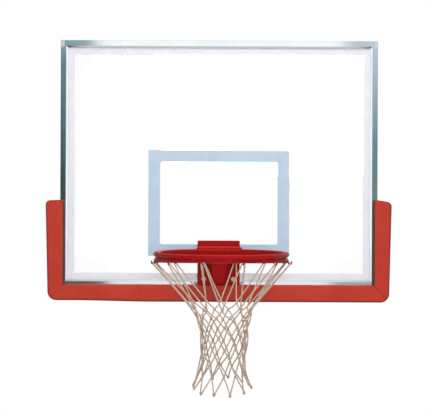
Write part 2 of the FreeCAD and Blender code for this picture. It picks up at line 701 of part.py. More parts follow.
def build_net_hooks():
    """Twelve J-shaped wire hooks on the lower ring's outer side, each standing in its own radial plane."""
    hooks = new_body("net_hooks")
    hooks.setExpression("Placement", "lower_ring.Placement")
    reach = f"({RING_RADIUS} + Sizes.hook_out + Sizes.hook_bend)"
    step = 360 / NET_LOOPS
    level = f"-({HOOK_ROOT} + Sizes.hook_shank)"

    def wire_sketch(name, x):
        sketch = sketch_on(hooks, name, "XY_Plane", level)
        turn = FreeCAD.Rotation(FreeCAD.Vector(0, 0, 1), step / 2)
        sketch.AttachmentOffset = FreeCAD.Placement(FreeCAD.Vector(), turn)
        sketch.setExpression("AttachmentOffset.Base.x", f"{reach} * cos({step / 2})")
        sketch.setExpression("AttachmentOffset.Base.y", f"{reach} * sin({step / 2})")
        add_polygon(sketch, x, "0", "Sizes.hook_wire / 2", WIRE_SIDES)
        return sketch

    shank_wire = wire_sketch("hook_shank_wire", "-Sizes.hook_bend")
    shank = pad(hooks, shank_wire, "Sizes.hook_shank - Sizes.weld_gap")
    tip = pad(hooks, wire_sketch("hook_tip_wire", "Sizes.hook_bend"), "Sizes.hook_tip")
    bend = hooks.newObject("PartDesign::Revolution", "hook_bend")
    bend.Profile = wire_sketch("hook_bend_wire", "-Sizes.hook_bend")
    bend.ReferenceAxis = (bend.Profile[0], ["V_Axis"])
    bend.Angle = 180
    bend.Reversed = True
    doc.recompute()
    pattern = hooks.newObject("PartDesign::PolarPattern", "hook_pattern")
    pattern.Originals = [shank, tip, bend]
    axis = next(item for item in hooks.Origin.OriginFeatures if item.Role == "Z_Axis")
    pattern.Axis = (axis, [""])
    pattern.Angle = 360
    pattern.Occurrences = NET_LOOPS
    hooks.Tip = pattern


def build_net(lower_ring):
    """Twelve cords, each hung over one hook: its legs spiral down and cross others at every knot row."""
    cord = size("net_cord")
    gap = size("fit_gap")
    hook_radius = (size("ring_inside") + size("ring_bar")) / 2 + size("hook_out") + size("hook_bend")
    hook_root = math.sqrt((size("ring_bar") / 2) ** 2 - (size("hook_out") - size("hook_wire") / 2) ** 2)
    hook_low = -(hook_root + size("hook_shank") + size("hook_bend"))
    ring_top = size("ring_rise") - size("board_height") / 2
    glass_front = size("frame_wall") + size("gasket_thick") - size("bracket_stand") - size("frame_depth")
    axis_y = glass_front - size("ring_reach")
    step = 2 * math.pi / NET_LOOPS

    def row_drop(row):
        """How far a knot row hangs below the first one; the rows grow longer downwards."""
        count = row - 1
        return count * size("net_pitch") + count * (count - 1) / 2 * size("net_pitch_growth")

    def profile(row):
        """Radius and height of a knot row: a funnel that closes to the throat and flares at the foot."""
        drop = row_drop(row)
        mouth = size("net_mouth") * math.exp(-drop / size("net_mouth_depth"))
        flare = size("net_flare") * math.exp((drop - row_drop(NET_ROWS)) / size("net_flare_depth"))
        return size("net_throat") + mouth + flare, ring_top - size("net_first_drop") - drop

    def knot(row, angle, side):
        """A crossing point, half a cord to one side of the funnel, so that two cords pass each other."""
        radius, height = profile(row)
        above, below = profile(row - 1), profile(row + 1)
        slope = math.atan2(above[0] - below[0], above[1] - below[1])
        apart = side * (cord / 2 + gap)
        radius += apart * math.cos(slope)
        height -= apart * math.sin(slope)
        return FreeCAD.Vector(radius * math.cos(angle), axis_y + radius * math.sin(angle), height)

    def crown(angle):
        """The bend of one cord over its hook, in three straight steps that clear the wire."""
        clear = ((size("hook_wire") + cord) / 2 + gap) / math.cos(math.pi / 6)
        radial = FreeCAD.Vector(math.cos(angle), math.sin(angle), 0)
        tangent = FreeCAD.Vector(-math.sin(angle), math.cos(angle), 0)
        points = []
        for i in range(4):
            turn = math.pi * (1 - i / 3)
            up = FreeCAD.Vector(0, 0, hook_low + clear * math.sin(turn))
            local = radial * hook_radius + tangent * (clear * math.cos(turn)) + up
            points.append(lower_ring.Placement.multVec(local))
        return points

    def cord_end(route):
        """The cord's section at the start of its route, with corners on its round outline."""
        along = (route[1] - route[0]).normalize()
        across = along.cross(FreeCAD.Vector(0, 0, 1)).normalize() * (cord / 2)
        corners = []
        for i in range(WIRE_SIDES + 1):
            turn = FreeCAD.Rotation(along, 360 / WIRE_SIDES * i)
            corners.append(route[0] + turn.multVec(across))
        return Part.makePolygon(corners)

    cords = []
    for i in range(NET_LOOPS):
        angle = (i + 0.5) * step
        rising = [knot(row, angle - row * step / 2, -1) for row in range(NET_ROWS, 0, -1)]
        falling = [knot(row, angle + row * step / 2, 1) for row in range(1, NET_ROWS + 1)]
        route = rising + crown(angle) + falling
        cords.append(Part.makePolygon(route).makePipeShell([cord_end(route)], True, False, 1))
    net = doc.addObject("Part::Feature", "net")
    net.Label = "net"
    net.Shape = Part.makeCompound(cords)
    SUBPARTS.append(net)


def build_padding():
    """A U-shaped foam edge, slotted over the frame, notched at the lower brackets, mitred at the corners."""
    blank = new_body("pad_blank", exported=False)
    outline = front_sketch(blank, "pad_outline", PAD_FRONT)
    top_x = f"({HALF_WIDTH} + Sizes.pad_side_top)"
    low_x = f"({HALF_WIDTH} + Sizes.pad_side_low)"
    add_loop(outline, [
        (f"-{PAD_INNER_X}", PAD_TOP),
        (f"-{top_x}", f"{PAD_TOP} - Sizes.pad_slope_left"),
        (f"-{low_x}", PAD_BOTTOM),
        (low_x, PAD_BOTTOM),
        (top_x, f"{PAD_TOP} - Sizes.pad_slope_right"),
        (PAD_INNER_X, PAD_TOP),
        (PAD_INNER_X, PAD_INNER_Z),
        (f"-{PAD_INNER_X}", PAD_INNER_Z),
    ])
    pad(blank, outline, f"{PAD_REAR} - {PAD_FRONT}", backwards=True)
    doc.recompute()
    half_width = size("board_width") / 2
    board_bottom = -size("board_height") / 2

    def through_edges(is_high):
        names = []
        for i, edge in enumerate(blank.Shape.Edges, start=1):
            start, end = edge.Vertexes[0].Point, edge.Vertexes[-1].Point
            straight = abs(start.x - end.x) < 1e-6 and abs(start.z - end.z) < 1e-6
            if straight and abs(start.x) > half_width and (start.z > board_bottom) == is_high:
                names.append(f"Edge{i}")
        return names

    round_edges(blank, through_edges(False), "Sizes.pad_corner")
    round_edges(blank, through_edges(True), "Sizes.pad_end_corner")
    inner_x = half_width - size("pad_cover_side") + 1e-3
    inner_z = board_bottom + size("pad_cover_low") - 1e-3
    rims = []
    for i, edge in enumerate(blank.Shape.Edges, start=1):
        middle = edge.valueAt((edge.FirstParameter + edge.LastParameter) / 2)
        level = abs(edge.BoundBox.YLength) < 1e-6
        if level and not (abs(middle.x) < inner_x and middle.z > inner_z):
            rims.append(f"Edge{i}")
    round_edges(blank, rims, "Sizes.pad_edge")
    slot = front_sketch(blank, "pad_slot", f"{FRAME_FRONT} - Sizes.fit_gap")
    slot_x = f"({HALF_WIDTH} + Sizes.fit_gap)"
    slot_low, slot_high = f"{BOARD_BOTTOM} - Sizes.fit_gap", f"{PAD_TOP} + Sizes.pad_lip"
    add_rectangle(slot, f"-{slot_x}", slot_x, slot_low, slot_high)
    pocket(blank, slot, "Sizes.frame_depth + 2 * Sizes.fit_gap")
    notches = front_sketch(blank, "pad_notches", FRAME_REAR)
    half_notch = "(Sizes.bracket_length / 2 + Sizes.pad_notch_gap)"
    for sign in ("-", ""):
        add_rectangle(
            notches, f"{sign}{slot_x}", f"{sign}({PAD_INNER_X} - Sizes.pad_lip)",
            f"-{BRACKET_Z} - {half_notch}", f"-{BRACKET_Z} + {half_notch}")
    pocket(blank, notches, "2 * Sizes.pad_lip")
    drilled = front_sketch(blank, "pad_screw_holes", FRAME_REAR)
    for x, z in pad_screw_places():
        add_circle(drilled, x, z, PAD_SCREW_HOLE)
    pocket(blank, drilled, "2 * Sizes.pad_lip")
    recesses = front_sketch(blank, "pad_key_recesses", FRAME_REAR)
    middle, away = "Sizes.frame_face / 2", "Sizes.key_screw_place"
    for sign in ("-", ""):
        for across, up in ((middle, away), (away, middle)):
            radius = "Sizes.key_screw_head / 2 + Sizes.fit_gap"
            add_circle(recesses, f"{sign}({HALF_WIDTH} - {across})", f"{BOARD_BOTTOM} + {up}", radius)
    pocket(blank, recesses, "Sizes.key_screw_head_thick + Sizes.fit_gap")
    reach = "(Sizes.pad_side_top + Sizes.pad_under + Sizes.pad_rise)"
    seam = "(Sizes.pad_seam / 2)"

    def mitre(sign, slide, distance):
        return (f"{sign}({PAD_INNER_X} + {distance} + {slide})", f"{PAD_INNER_Z} - {distance}")

    above = f"{PAD_TOP} + {reach}"
    wedges = {}
    for side, sign in (("left", "-"), ("right", "")):
        wedges[side] = [
            mitre(sign, seam, f"(-{seam})"),
            mitre(sign, seam, reach),
            (f"{sign}({PAD_INNER_X} + {reach})", above),
            (f"{sign}({PAD_INNER_X} - {seam})", above),
        ]
    wedges["bottom"] = [
        mitre("-", f"(-{seam})", f"(-{seam})"),
        mitre("-", f"(-{seam})", reach),
        mitre("", f"(-{seam})", reach),
        mitre("", f"(-{seam})", f"(-{seam})"),
    ]
    for side, corners in wedges.items():
        wedge = new_body(f"pad_wedge_{side}", exported=False)
        shape = front_sketch(wedge, f"pad_wedge_{side}_outline", PAD_FRONT)
        add_loop(shape, corners)
        pad(wedge, shape, f"{PAD_REAR} - {PAD_FRONT}", backwards=True)
        piece = doc.addObject("Part::Common", f"edge_pad_{side}")
        piece.Label = piece.Name
        piece.Base = blank
        piece.Tool = wedge
        SUBPARTS.append(piece)


def pad_screw_places():
    """Where the screws go through the rear lip of the padding: along the bottom, then up both sides."""
    places = [(x, f"({BOARD_BOTTOM} + Sizes.pad_screw_low_inset)") for x in PAD_LOW_SCREWS]
    for sign in ("-", ""):
        across = f"{sign}({HALF_WIDTH} - Sizes.pad_screw_side_inset)"
        places += [(across, f"({BOARD_BOTTOM} + {place_up})") for place_up in PAD_SIDE_SCREWS]
    return places


def build_pad_screws():
    """Washer-head screws through the rear lip of the padding into the frame."""
    screws = new_body("pad_screws")
    shanks = front_sketch(screws, "pad_screw_shanks")
    heads = front_sketch(screws, "pad_screw_heads")
    for x, z in pad_screw_places():
        add_circle(shanks, x, z, "Sizes.pad_screw_dia / 2")
        add_circle(heads, x, z, "Sizes.pad_screw_head / 2")
    pad(screws, shanks, "Sizes.pad_lip + Sizes.fit_gap + Sizes.pad_screw_grip")
    pad(screws, heads, "Sizes.pad_screw_head_thick", backwards=True)
    place(screws, "0", PAD_REAR, "0")


def build_brackets():
    """Four hat-shaped steel brackets on the rear of the side members, and the screws through their feet."""
    half_length = "(Sizes.bracket_length / 2)"
    crown = "(Sizes.bracket_crown / 2)"
    thick = "Sizes.bracket_thick"
    for side, across in (("left", "-"), ("right", "")):
        for level, up in (("lower", "-"), ("upper", "")):
            bracket = new_body(f"mount_bracket_{level}_{side}")
            hat = sketch_on(bracket, f"{bracket.Name}_hat", "YZ_Plane")
            half_hat = [
                (FRAME_REAR, half_length),
                (f"{FRAME_REAR} + {thick}", half_length),
                (f"{FRAME_REAR} + {thick}", crown),
                ("0", crown),
            ]
            under = [(f"-{thick}", f"({crown} - {thick})"), (FRAME_REAR, f"({crown} - {thick})")]
            mirrored = [(y, f"-{z}") for y, z in half_hat]
            mirrored_under = [(y, f"-{z}") for y, z in under]
            add_loop(hat, half_hat + mirrored[::-1] + mirrored_under[::-1] + under)
            pad(bracket, hat, "Sizes.bracket_width", "Symmetric")
            drilled = front_sketch(bracket, f"{bracket.Name}_holes")
            add_circle(drilled, "0", "0", "Sizes.bracket_hole_dia / 2")
            for sign in ("-", ""):
                add_circle(drilled, "0", f"{sign}{FOOT_SCREW}", BRACKET_SCREW_HOLE)
            pocket(bracket, drilled, "3 * Sizes.bracket_stand", "Symmetric")
            place(bracket, f"{across}{BRACKET_X}", "0", f"{up}{BRACKET_Z}")
    places = []
    for across in ("-", ""):
        for up in ("-", ""):
            for foot in ("-", "+"):
                places.append((f"{across}{BRACKET_X}", f"({up}{BRACKET_Z} {foot} {FOOT_SCREW})"))
    rear_screw_group(
        "bracket_screws", places, "Sizes.bracket_screw_dia", "Sizes.bracket_screw_length",
        "Sizes.bracket_screw_hex", "Sizes.bracket_screw_head", f"{FRAME_REAR} + {thick}")


def export_subparts():
    """Check every object, then write one file per sub-part."""
    doc.recompute()
    for item in doc.Objects:
        if "Invalid" in item.State or "Error" in item.State:
            raise RuntimeError(f"{item.Label} failed: {item.State}")
    for item in SUBPARTS:
        if item.Shape.isNull() or not item.Shape.isValid() or not item.Shape.Solids:
            raise RuntimeError(f"{item.Label} has no valid solid")
    os.makedirs("parts", exist_ok=True)
    for item in SUBPARTS:
        item.Shape.exportStep(f"parts/{item.Label}.step")
        print(item.Label, len(item.Shape.Solids), round(item.Shape.Volume))


build_glass()
build_lines()
build_frame()
build_corner_keys()
build_goal_stack()
upper_ring, lower_ring = build_rings()
build_flange_and_brace()
doc.recompute()
build_ring_web(upper_ring, lower_ring)
build_net_hooks()
build_net(lower_ring)
build_padding()
build_pad_screws()
build_brackets()
export_subparts()
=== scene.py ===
import json
import math
import random

import bmesh
import bpy
from mathutils import Matrix, Vector, noise


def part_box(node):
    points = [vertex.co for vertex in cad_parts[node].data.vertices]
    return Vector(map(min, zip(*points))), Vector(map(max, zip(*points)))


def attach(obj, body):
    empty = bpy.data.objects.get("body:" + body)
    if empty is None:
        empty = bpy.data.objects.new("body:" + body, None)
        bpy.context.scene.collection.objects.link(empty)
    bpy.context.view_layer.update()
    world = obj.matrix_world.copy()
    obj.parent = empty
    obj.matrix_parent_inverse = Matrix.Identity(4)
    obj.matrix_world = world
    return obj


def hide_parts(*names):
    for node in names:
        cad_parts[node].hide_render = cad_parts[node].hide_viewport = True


# A glass basketball backboard with its goal, net and foam edge padding. Metres, in the frame of the
# solids: +Z is up, the front of the board faces -Y, and the origin is the centre of the rear
# mounting holes.

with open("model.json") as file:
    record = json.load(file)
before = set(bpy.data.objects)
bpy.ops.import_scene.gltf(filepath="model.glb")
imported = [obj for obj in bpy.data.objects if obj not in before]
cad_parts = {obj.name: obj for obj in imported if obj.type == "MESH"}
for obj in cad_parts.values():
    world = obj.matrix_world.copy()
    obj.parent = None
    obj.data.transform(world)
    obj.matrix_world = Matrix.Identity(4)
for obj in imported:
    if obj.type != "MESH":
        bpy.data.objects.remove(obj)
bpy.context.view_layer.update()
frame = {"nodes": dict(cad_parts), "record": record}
nodes = frame["nodes"]

# Photograph: the camera's place and small roll, and where its level line of sight meets the picture
PHOTO_WIDTH, PHOTO_HEIGHT = 432, 416
SIGHT_X, SIGHT_Y = 205.74, 226.66
CAMERA_PLACE = (-0.0559, -2.4145, -0.2708)
CAMERA_ROLL = 0.00415
CAMERA_LENS, CAMERA_SENSOR = 45.2, 36.0

# Board and goal, read from the solids
FRAME_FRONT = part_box("frame_top")[0].y
FRAME_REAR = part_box("frame_top")[1].y
HALF_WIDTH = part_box("frame_top")[1].x
BOARD_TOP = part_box("frame_top")[1].z
BOARD_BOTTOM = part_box("frame_bottom")[0].z
upper_low, upper_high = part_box("upper_ring")
lower_low, lower_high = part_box("lower_ring")
RING_BAR = upper_high.z - upper_low.z
RING_RADIUS = (upper_high.x - upper_low.x - RING_BAR) / 2
RING_AXIS_Y = (upper_low.y + upper_high.y) / 2
RING_TOP = upper_high.z
UPPER_RING = Matrix.Translation((upper_low + upper_high) / 2)
LOWER_TILT = math.atan2(
    lower_high.z - lower_low.z - RING_BAR, lower_high.y - lower_low.y - RING_BAR)
LOWER_RING = Matrix.Translation((lower_low + lower_high) / 2) @ Matrix.Rotation(-LOWER_TILT, 4, "X")
PLATE_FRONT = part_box("goal_back_plate")[0].y
flange_low, flange_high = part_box("goal_flange")
brace_low, brace_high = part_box("goal_brace")

# Painted pale reflection at the frame's top corners, where the metal is also duller: where it
# begins and is full, from the outer edge and the top
CORNER_ACROSS = (0.02, 0.015)
CORNER_DOWN = (0.036, 0.026)

# Rounding of the solids' hard edges
EDGE_MERGE = 0.00001
EDGE_ANGLE = math.radians(35)
BRACKET_EDGE = 0.0012
EDGE_WIDTHS = {
    "frame_bottom": 0.0006, "frame_top": 0.0006, "frame_left": 0.0006, "frame_right": 0.0006,
    "goal_back_plate": 0.0012, "goal_flange": 0.001, "goal_brace": 0.0016,
    "goal_bolts": 0.0018, "goal_nuts": 0.0009, "goal_washers": 0.0004,
    "anchor_bolts": 0.0006, "bracket_screws": 0.0006,
    "goal_anchor_plate": 0.001, "goal_bearing_plate": 0.001,
}

# Goal welds: sizes that the boxes don't give, radius and place of each bead, pitch of its drops
BRACE_KNEE = 0.065
BRACE_LOW_HALF = 0.019
WEB_TURN = (-25, 205)
WEB_HALF = 0.0015
FLANGE_BEAD, FLANGE_BEAD_INSET = 0.0028, 0.003
BRACE_BEAD, BRACE_BEAD_GAP = 0.003, 0.001
CROWN_BEAD, CROWN_BEAD_IN, CROWN_BEAD_UP = 0.0026, 0.0008, 0.0012
SEAT_BEAD, SEAT_BEAD_IN, SEAT_BEAD_UP = 0.003, 0.0006, 0.0045
SEAT_TURN = (83, 97)
WEB_BEAD = 0.0016
BEAD_PITCH, WEB_BEAD_PITCH = 0.0022, 0.012
BEAD_SWELL = 0.14
BEAD_TIP = 0.3
BEAD_SIDES = 8
CROWN_STEPS, SEAT_STEPS, WEB_STEPS = 60, 12, 160

# Net: cords, rows and outline
NET_LOOPS = 12
NET_ROWS = 8
NET_CORD = 0.005
NET_GAP = 0.0003
NET_FIRST_DROP = 0.1926
NET_PITCH = 0.031
NET_PITCH_GROWTH = 0.0037
NET_THROAT = 0.075
NET_MOUTH, NET_MOUTH_DEPTH = 0.043, 0.060
NET_FLARE, NET_FLARE_DEPTH = 0.030, 0.043
NET_SWAY = 0.011
NET_STEP = 2 * math.pi / NET_LOOPS
CORD_STEPS, CORD_SIDES = 8, 8

# Net: drift of the knots, their lobes, and the tails under the lower tips
DRIFT_SEED, TAIL_SEED = 7, 11
DRIFT_TURN, DRIFT_OUT, DRIFT_UP = 0.055, 0.004, 0.005
DRIFT_LEAST = 0.4
KNOT_REACH, KNOT_LIFT = 0.0021, 0.0017
TIP_REACH, TIP_LIFT = 0.0024, 0.0018
KNOT_RADIUS = NET_CORD * 0.38
KNOT_HEIGHT = 1.25
TAIL_LEAN = 0.3
TAIL_SHORTEST, TAIL_LONGEST = 0.003, 0.006
TAIL_PROFILE = ((0.0, 0.42), (0.5, 0.42), (0.9, 0.4), (1.0, 0.25))

# Net hooks: bent wire, with a foot at the ring and a rounded end
HOOK_WIRE = 0.005
HOOK_OUT = 0.0075
HOOK_SHANK = 0.0006
HOOK_BEND = 0.0055
HOOK_TIP = 0.006
HOOK_ROOT = math.sqrt((RING_BAR / 2) ** 2 - (HOOK_OUT - HOOK_WIRE / 2) ** 2)
HOOK_RADIUS = RING_RADIUS + HOOK_OUT + HOOK_BEND
HOOK_LOW = -(HOOK_ROOT + HOOK_SHANK + HOOK_BEND)
HOOK_FOOT_IN, HOOK_FOOT_UP = 0.0015, 0.0025
HOOK_FOOT_RADII = (HOOK_WIRE * 0.75, HOOK_WIRE * 0.6)
HOOK_END = ((0.6, 1.0), (0.9, 0.95), (0.97, 0.75), (1.0, 0.4))

# Foam edge padding: outline
PAD_FRONT, PAD_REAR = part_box("edge_pad_bottom")[0].y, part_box("edge_pad_bottom")[1].y
PAD_GAP = 0.0003
PAD_SIDE_TOP, PAD_SIDE_LOW = 0.0573, 0.047
PAD_INNER_X = HALF_WIDTH - 0.0215
PAD_INNER_Z = BOARD_BOTTOM + 0.012
PAD_TOP = BOARD_BOTTOM + 0.376
PAD_BOTTOM = BOARD_BOTTOM - 0.056
PAD_SLOPE = {"left": 0.003, "right": 0.011}
PAD_RISE = {"left": 0.0, "right": 0.005}
PAD_FULLER = {"left": 0.0014, "right": 0.0}
SIGNS = {"left": -1, "right": 1}
PAD_SAG, PAD_SAG_START, PAD_SAG_END = 0.005, -0.62, -0.29
PAD_CORNER, PAD_CORNER_STEPS = 0.038, 24
PAD_END_CORNER = 0.019
PAD_LIP_CORNER = 0.009

# Foam edge padding: section, soft crown, creases at the mitres and cuts round the brackets
PAD_EDGE, PAD_LEAST_EDGE = 0.012, 0.003
PAD_LIP_EDGE = 0.007
PAD_EDGE_STEPS = 5
PAD_FACE_SHARES = (0.15, 0.3, 0.45, 0.6, 0.75, 0.9)
PAD_SIDE_SHARES = (0.25, 0.5, 0.75)
PAD_CROWN = 0.0012
PAD_WAVE, PAD_WAVE_SCALE = 0.0006, 14.0
PAD_CREASE = {"left": 0.0006, "right": 0.0016}
CREASE_REACH = 0.12
CREASE_SIDE = 0.3
NOTCH_GAP = 0.002
NOTCH_EDGE = 0.0003
PAD_SHARP = math.radians(40)

# Foam edge padding: where its sections stand, and the fans of sections that turn into the mitres
PAD_STEP = 0.012
PAD_END_MARKS = (0.0, 0.0005, 0.0015, 0.003, 0.005, 0.0075, 0.010, 0.013, 0.016)
PAD_SIDE_STEPS = 28
PAD_FAN = 0.029
FAN_SHARES = [i / 16 for i in range(1, 16)] + [0.97, 0.985, 0.9975]
FAN_Z, FAN_X = PAD_INNER_Z + PAD_FAN, PAD_INNER_X - PAD_FAN
SLOT_X, SLOT_Z = HALF_WIDTH + PAD_GAP, BOARD_BOTTOM - PAD_GAP
SLOT_MITRE = PAD_INNER_X + PAD_INNER_Z - SLOT_Z

# Foam edge padding: heights between which the painted shade of the upper ends sets in
PAD_TOP_END_SHADE = (-0.2, -0.175)

# Floor under a goal whose ring hangs ten feet up, and the distances over which it turns white
RING_HEIGHT = 3.048
FLOOR = RING_TOP - RING_HEIGHT
FLOOR_SIZE = 60
FLOOR_WHITE = (3.0, 6.0)
FLOOR_NEAR_SHARE = 0.75

# Card for the reflections: place, size, heights of its tones, inner borders of its dark columns
WALL_PLACE = (0.1, -4.2, 0.5)
WALL_SIZE = (7.0, 4.2, 1.0)
WALL_HEIGHTS = (-1.0, 2.0)
WALL_LEFT, WALL_RIGHT = (-1.64, -1.52), (1.72, 1.84)
WALL_GLOW = 1.2

# Light: the sky's level below and above, and the place, size and power of each softbox
WHITE = (1.0, 1.0, 1.0, 1.0)
SKY_TINT = (0.96, 0.98, 1.0, 1)
SKY_LEVELS = (0.08, 0.28)
LIGHT_AIM = (0, -0.1, -0.1)
SOFTBOXES = {
    "front_softbox": ((0.1, -4.4, 0.3), 2.6, 126),
    "top_softbox": ((0.3, -0.9, 3.2), 2.4, 86),
    "rear_softbox": ((0.6, 4.2, 1.6), 2.6, 80),
}


def linear(red, green, blue):
    """A colour as seen on screen, 0 to 255, as the linear colour that a shader takes."""
    def channel(value):
        share = value / 255
        return share / 12.92 if share <= 0.04045 else ((share + 0.055) / 1.055) ** 2.4
    return (channel(red), channel(green), channel(blue), 1.0)


class Shading:
    """Short calls for the nodes of a material or of the world."""

    def __init__(self, tree):
        self.nodes = tree.nodes
        self.links = tree.links

    def put(self, value, socket):
        """Feed a socket from another one, or set it to a constant."""
        if isinstance(value, bpy.types.NodeSocket):
            self.links.new(value, socket)
        else:
            socket.default_value = value

    def node(self, kind, inputs=(), **settings):
        made = self.nodes.new(kind)
        for name, value in settings.items():
            setattr(made, name, value)
        for name, value in dict(inputs).items():
            self.put(value, made.inputs[name])
        return made

    def parts(self, vector):
        return self.node("ShaderNodeSeparateXYZ", {"Vector": vector}).outputs

    def sums(self, operation, first, second=0.0):
        return self.node("ShaderNodeMath", {0: first, 1: second}, operation=operation).outputs[0]

    def span(self, value, low, high, start=0.0, end=1.0):
        """Spread a value's range over another range, with its ends held."""
        inputs = {"Value": value, "From Min": low, "From Max": high, "To Min": start, "To Max": end}
        return self.node("ShaderNodeMapRange", inputs).outputs["Result"]

    def mix(self, factor, first, second):
        made = self.node("ShaderNodeMix", data_type="RGBA")
        self.put(factor, made.inputs[0])
        self.put(first, made.inputs[6])
        self.put(second, made.inputs[7])
        return made.outputs[2]

    def ramp(self, value, stops):
        """A colour that follows a value through stops, each a place from 0 to 1 and its colour."""
        made = self.node("ShaderNodeValToRGB", {"Fac": value})
        elements = made.color_ramp.elements
        while len(elements) < len(stops):
            elements.new(1.0)
        for element, (place, colour) in zip(elements, stops):
            element.position = place
            element.color = colour
        return made.outputs["Color"]

    def seen_rays(self):
        """One for rays that show the surroundings: direct, in reflections and through glass."""
        rays = self.node("ShaderNodeLightPath").outputs
        direct = self.sums("MAXIMUM", rays["Is Camera Ray"], rays["Is Glossy Ray"])
        return self.sums("MAXIMUM", direct, rays["Is Transmission Ray"])

    def blend(self, factor, first, second, output):
        """Send a mix of two shaders to the output."""
        mixed = self.node("ShaderNodeMixShader", {0: factor})
        self.links.new(first.outputs[0], mixed.inputs[1])
        self.links.new(second.outputs[0], mixed.inputs[2])
        self.links.new(mixed.outputs[0], self.nodes[output].inputs["Surface"])


class Finish(Shading):
    """A material whose colour, roughness and relief come from procedural nodes."""

    def __init__(self, name, **sockets):
        self.material = bpy.data.materials.new(name)
        self.material.use_nodes = True
        super().__init__(self.material.node_tree)
        self.surface = self.nodes["Principled BSDF"]
        for socket, value in sockets.items():
            self.surface.inputs[socket.replace("_", " ")].default_value = value

    def place(self, stretch=(1, 1, 1)):
        """The position in the row frame, stretched along each axis."""
        position = self.node("ShaderNodeTexCoord").outputs["Object"]
        inputs = {"Vector": position, "Scale": stretch}
        return self.node("ShaderNodeMapping", inputs).outputs["Vector"]

    def facing(self):
        """The parts of the surface's direction in the row frame."""
        return self.parts(self.node("ShaderNodeNewGeometry").outputs["Normal"])

    def noise(self, scale, detail=2.0, stretch=(1, 1, 1)):
        inputs = {"Vector": self.place(stretch), "Scale": scale, "Detail": detail}
        return self.node("ShaderNodeTexNoise", inputs).outputs["Fac"]

    def cells(self, scale):
        inputs = {"Vector": self.place(), "Scale": scale}
        return self.node("ShaderNodeTexVoronoi", inputs).outputs["Distance"]

    def colour(self, value):
        self.put(value, self.surface.inputs["Base Color"])

    def rough(self, value):
        self.put(value, self.surface.inputs["Roughness"])

    def relief(self, *layers):
        """Add bumps, each a height from 0 to 1 and its depth in metres."""
        normal = None
        for height, depth in layers:
            bump = self.node("ShaderNodeBump", {"Height": height, "Distance": depth})
            if normal:
                self.links.new(normal, bump.inputs["Normal"])
            normal = bump.outputs["Normal"]
        self.links.new(normal, self.surface.inputs["Normal"])


def aluminium(name, stretch):
    """Brushed and anodised extrusion with its grain along the member: cloudy, rougher with dust
    above, darker below as painted shade, and duller at the two top corners of the board, which
    carry a painted pale reflection."""
    finish = Finish(name, Metallic=1.0)
    grain = finish.noise(1.0, 3.0, stretch)
    cloud = finish.noise(9.0, 3.0)
    brushed = finish.mix(grain, linear(214, 221, 225), linear(236, 240, 242))
    clouded = finish.mix(finish.span(cloud, 0.4, 0.75, 0.0, 0.3), brushed, linear(196, 208, 212))
    up = finish.facing()["Z"]
    # Painted shade: the colour turns grey where the surface faces down.
    below = finish.span(up, -0.2, -0.05, 1.0, 0.0)
    underside_shaded = finish.mix(below, clouded, linear(184, 184, 184))
    # Painted pale reflection: a pale lilac colour at the two top corners of the board.
    place = finish.parts(finish.place())
    aside = finish.sums("ABSOLUTE", place["X"])
    across = finish.span(aside, *(HALF_WIDTH - reach for reach in CORNER_ACROSS))
    height = finish.span(place["Z"], *(BOARD_TOP - reach for reach in CORNER_DOWN))
    corner = finish.sums("MULTIPLY", across, height)
    finish.colour(finish.mix(corner, underside_shaded, linear(221, 224, 234)))
    dusty = finish.span(up, 0.05, 0.2, 0.0, 0.32)
    dull = finish.sums("MAXIMUM", dusty, finish.sums("MULTIPLY", corner, 0.5))
    finish.rough(finish.sums("MAXIMUM", finish.span(grain, 0.25, 0.75, 0.05, 0.1), dull))
    finish.relief((grain, 0.00002))
    return finish.material


def zinc(name, bright, bloomed):
    """Zinc plate with an uneven bloom."""
    finish = Finish(name, Metallic=1.0)
    bloom = finish.noise(140.0, 3.0)
    finish.colour(finish.mix(bloom, bright, bloomed))
    finish.rough(finish.span(finish.noise(700.0, 2.0), 0.3, 0.7, 0.2, 0.38))
    finish.relief((finish.noise(900.0), 0.00004))
    return finish.material


def goal_paint(name, gloss, deep, bright):
    """Thick red enamel over steel: uneven in colour and pebbled. Where it faces up it is rougher
    with dust and lighter orange as a painted highlight; where it faces sideways it is darker as
    painted shade."""
    finish = Finish(name, Specular_IOR_Level=gloss)
    cloud = finish.noise(26.0, 3.0)
    facing = finish.facing()
    # Dust where the surface faces up: rougher, and lighter orange in colour as a painted highlight.
    dust_and_highlight = finish.span(facing["Z"], 0.55, 0.95)
    # Painted shade: darker where the surface faces sideways.
    side_shade = finish.span(finish.sums("ABSOLUTE", facing["X"]), 0.6, 0.95, 0.0, 0.5)
    red = finish.mix(side_shade, finish.mix(cloud, deep, bright), linear(66, 6, 10))
    finish.colour(finish.mix(finish.sums("MULTIPLY", dust_and_highlight, 0.4), red, linear(206, 66, 46)))
    smooth = finish.span(finish.noise(60.0), 0.3, 0.7, 0.36, 0.5)
    finish.rough(finish.sums("MAXIMUM", smooth, finish.sums("MULTIPLY", dust_and_highlight, 0.9)))
    finish.relief((finish.noise(420.0, 1.0), 0.00018), (cloud, 0.0006))
    return finish.material


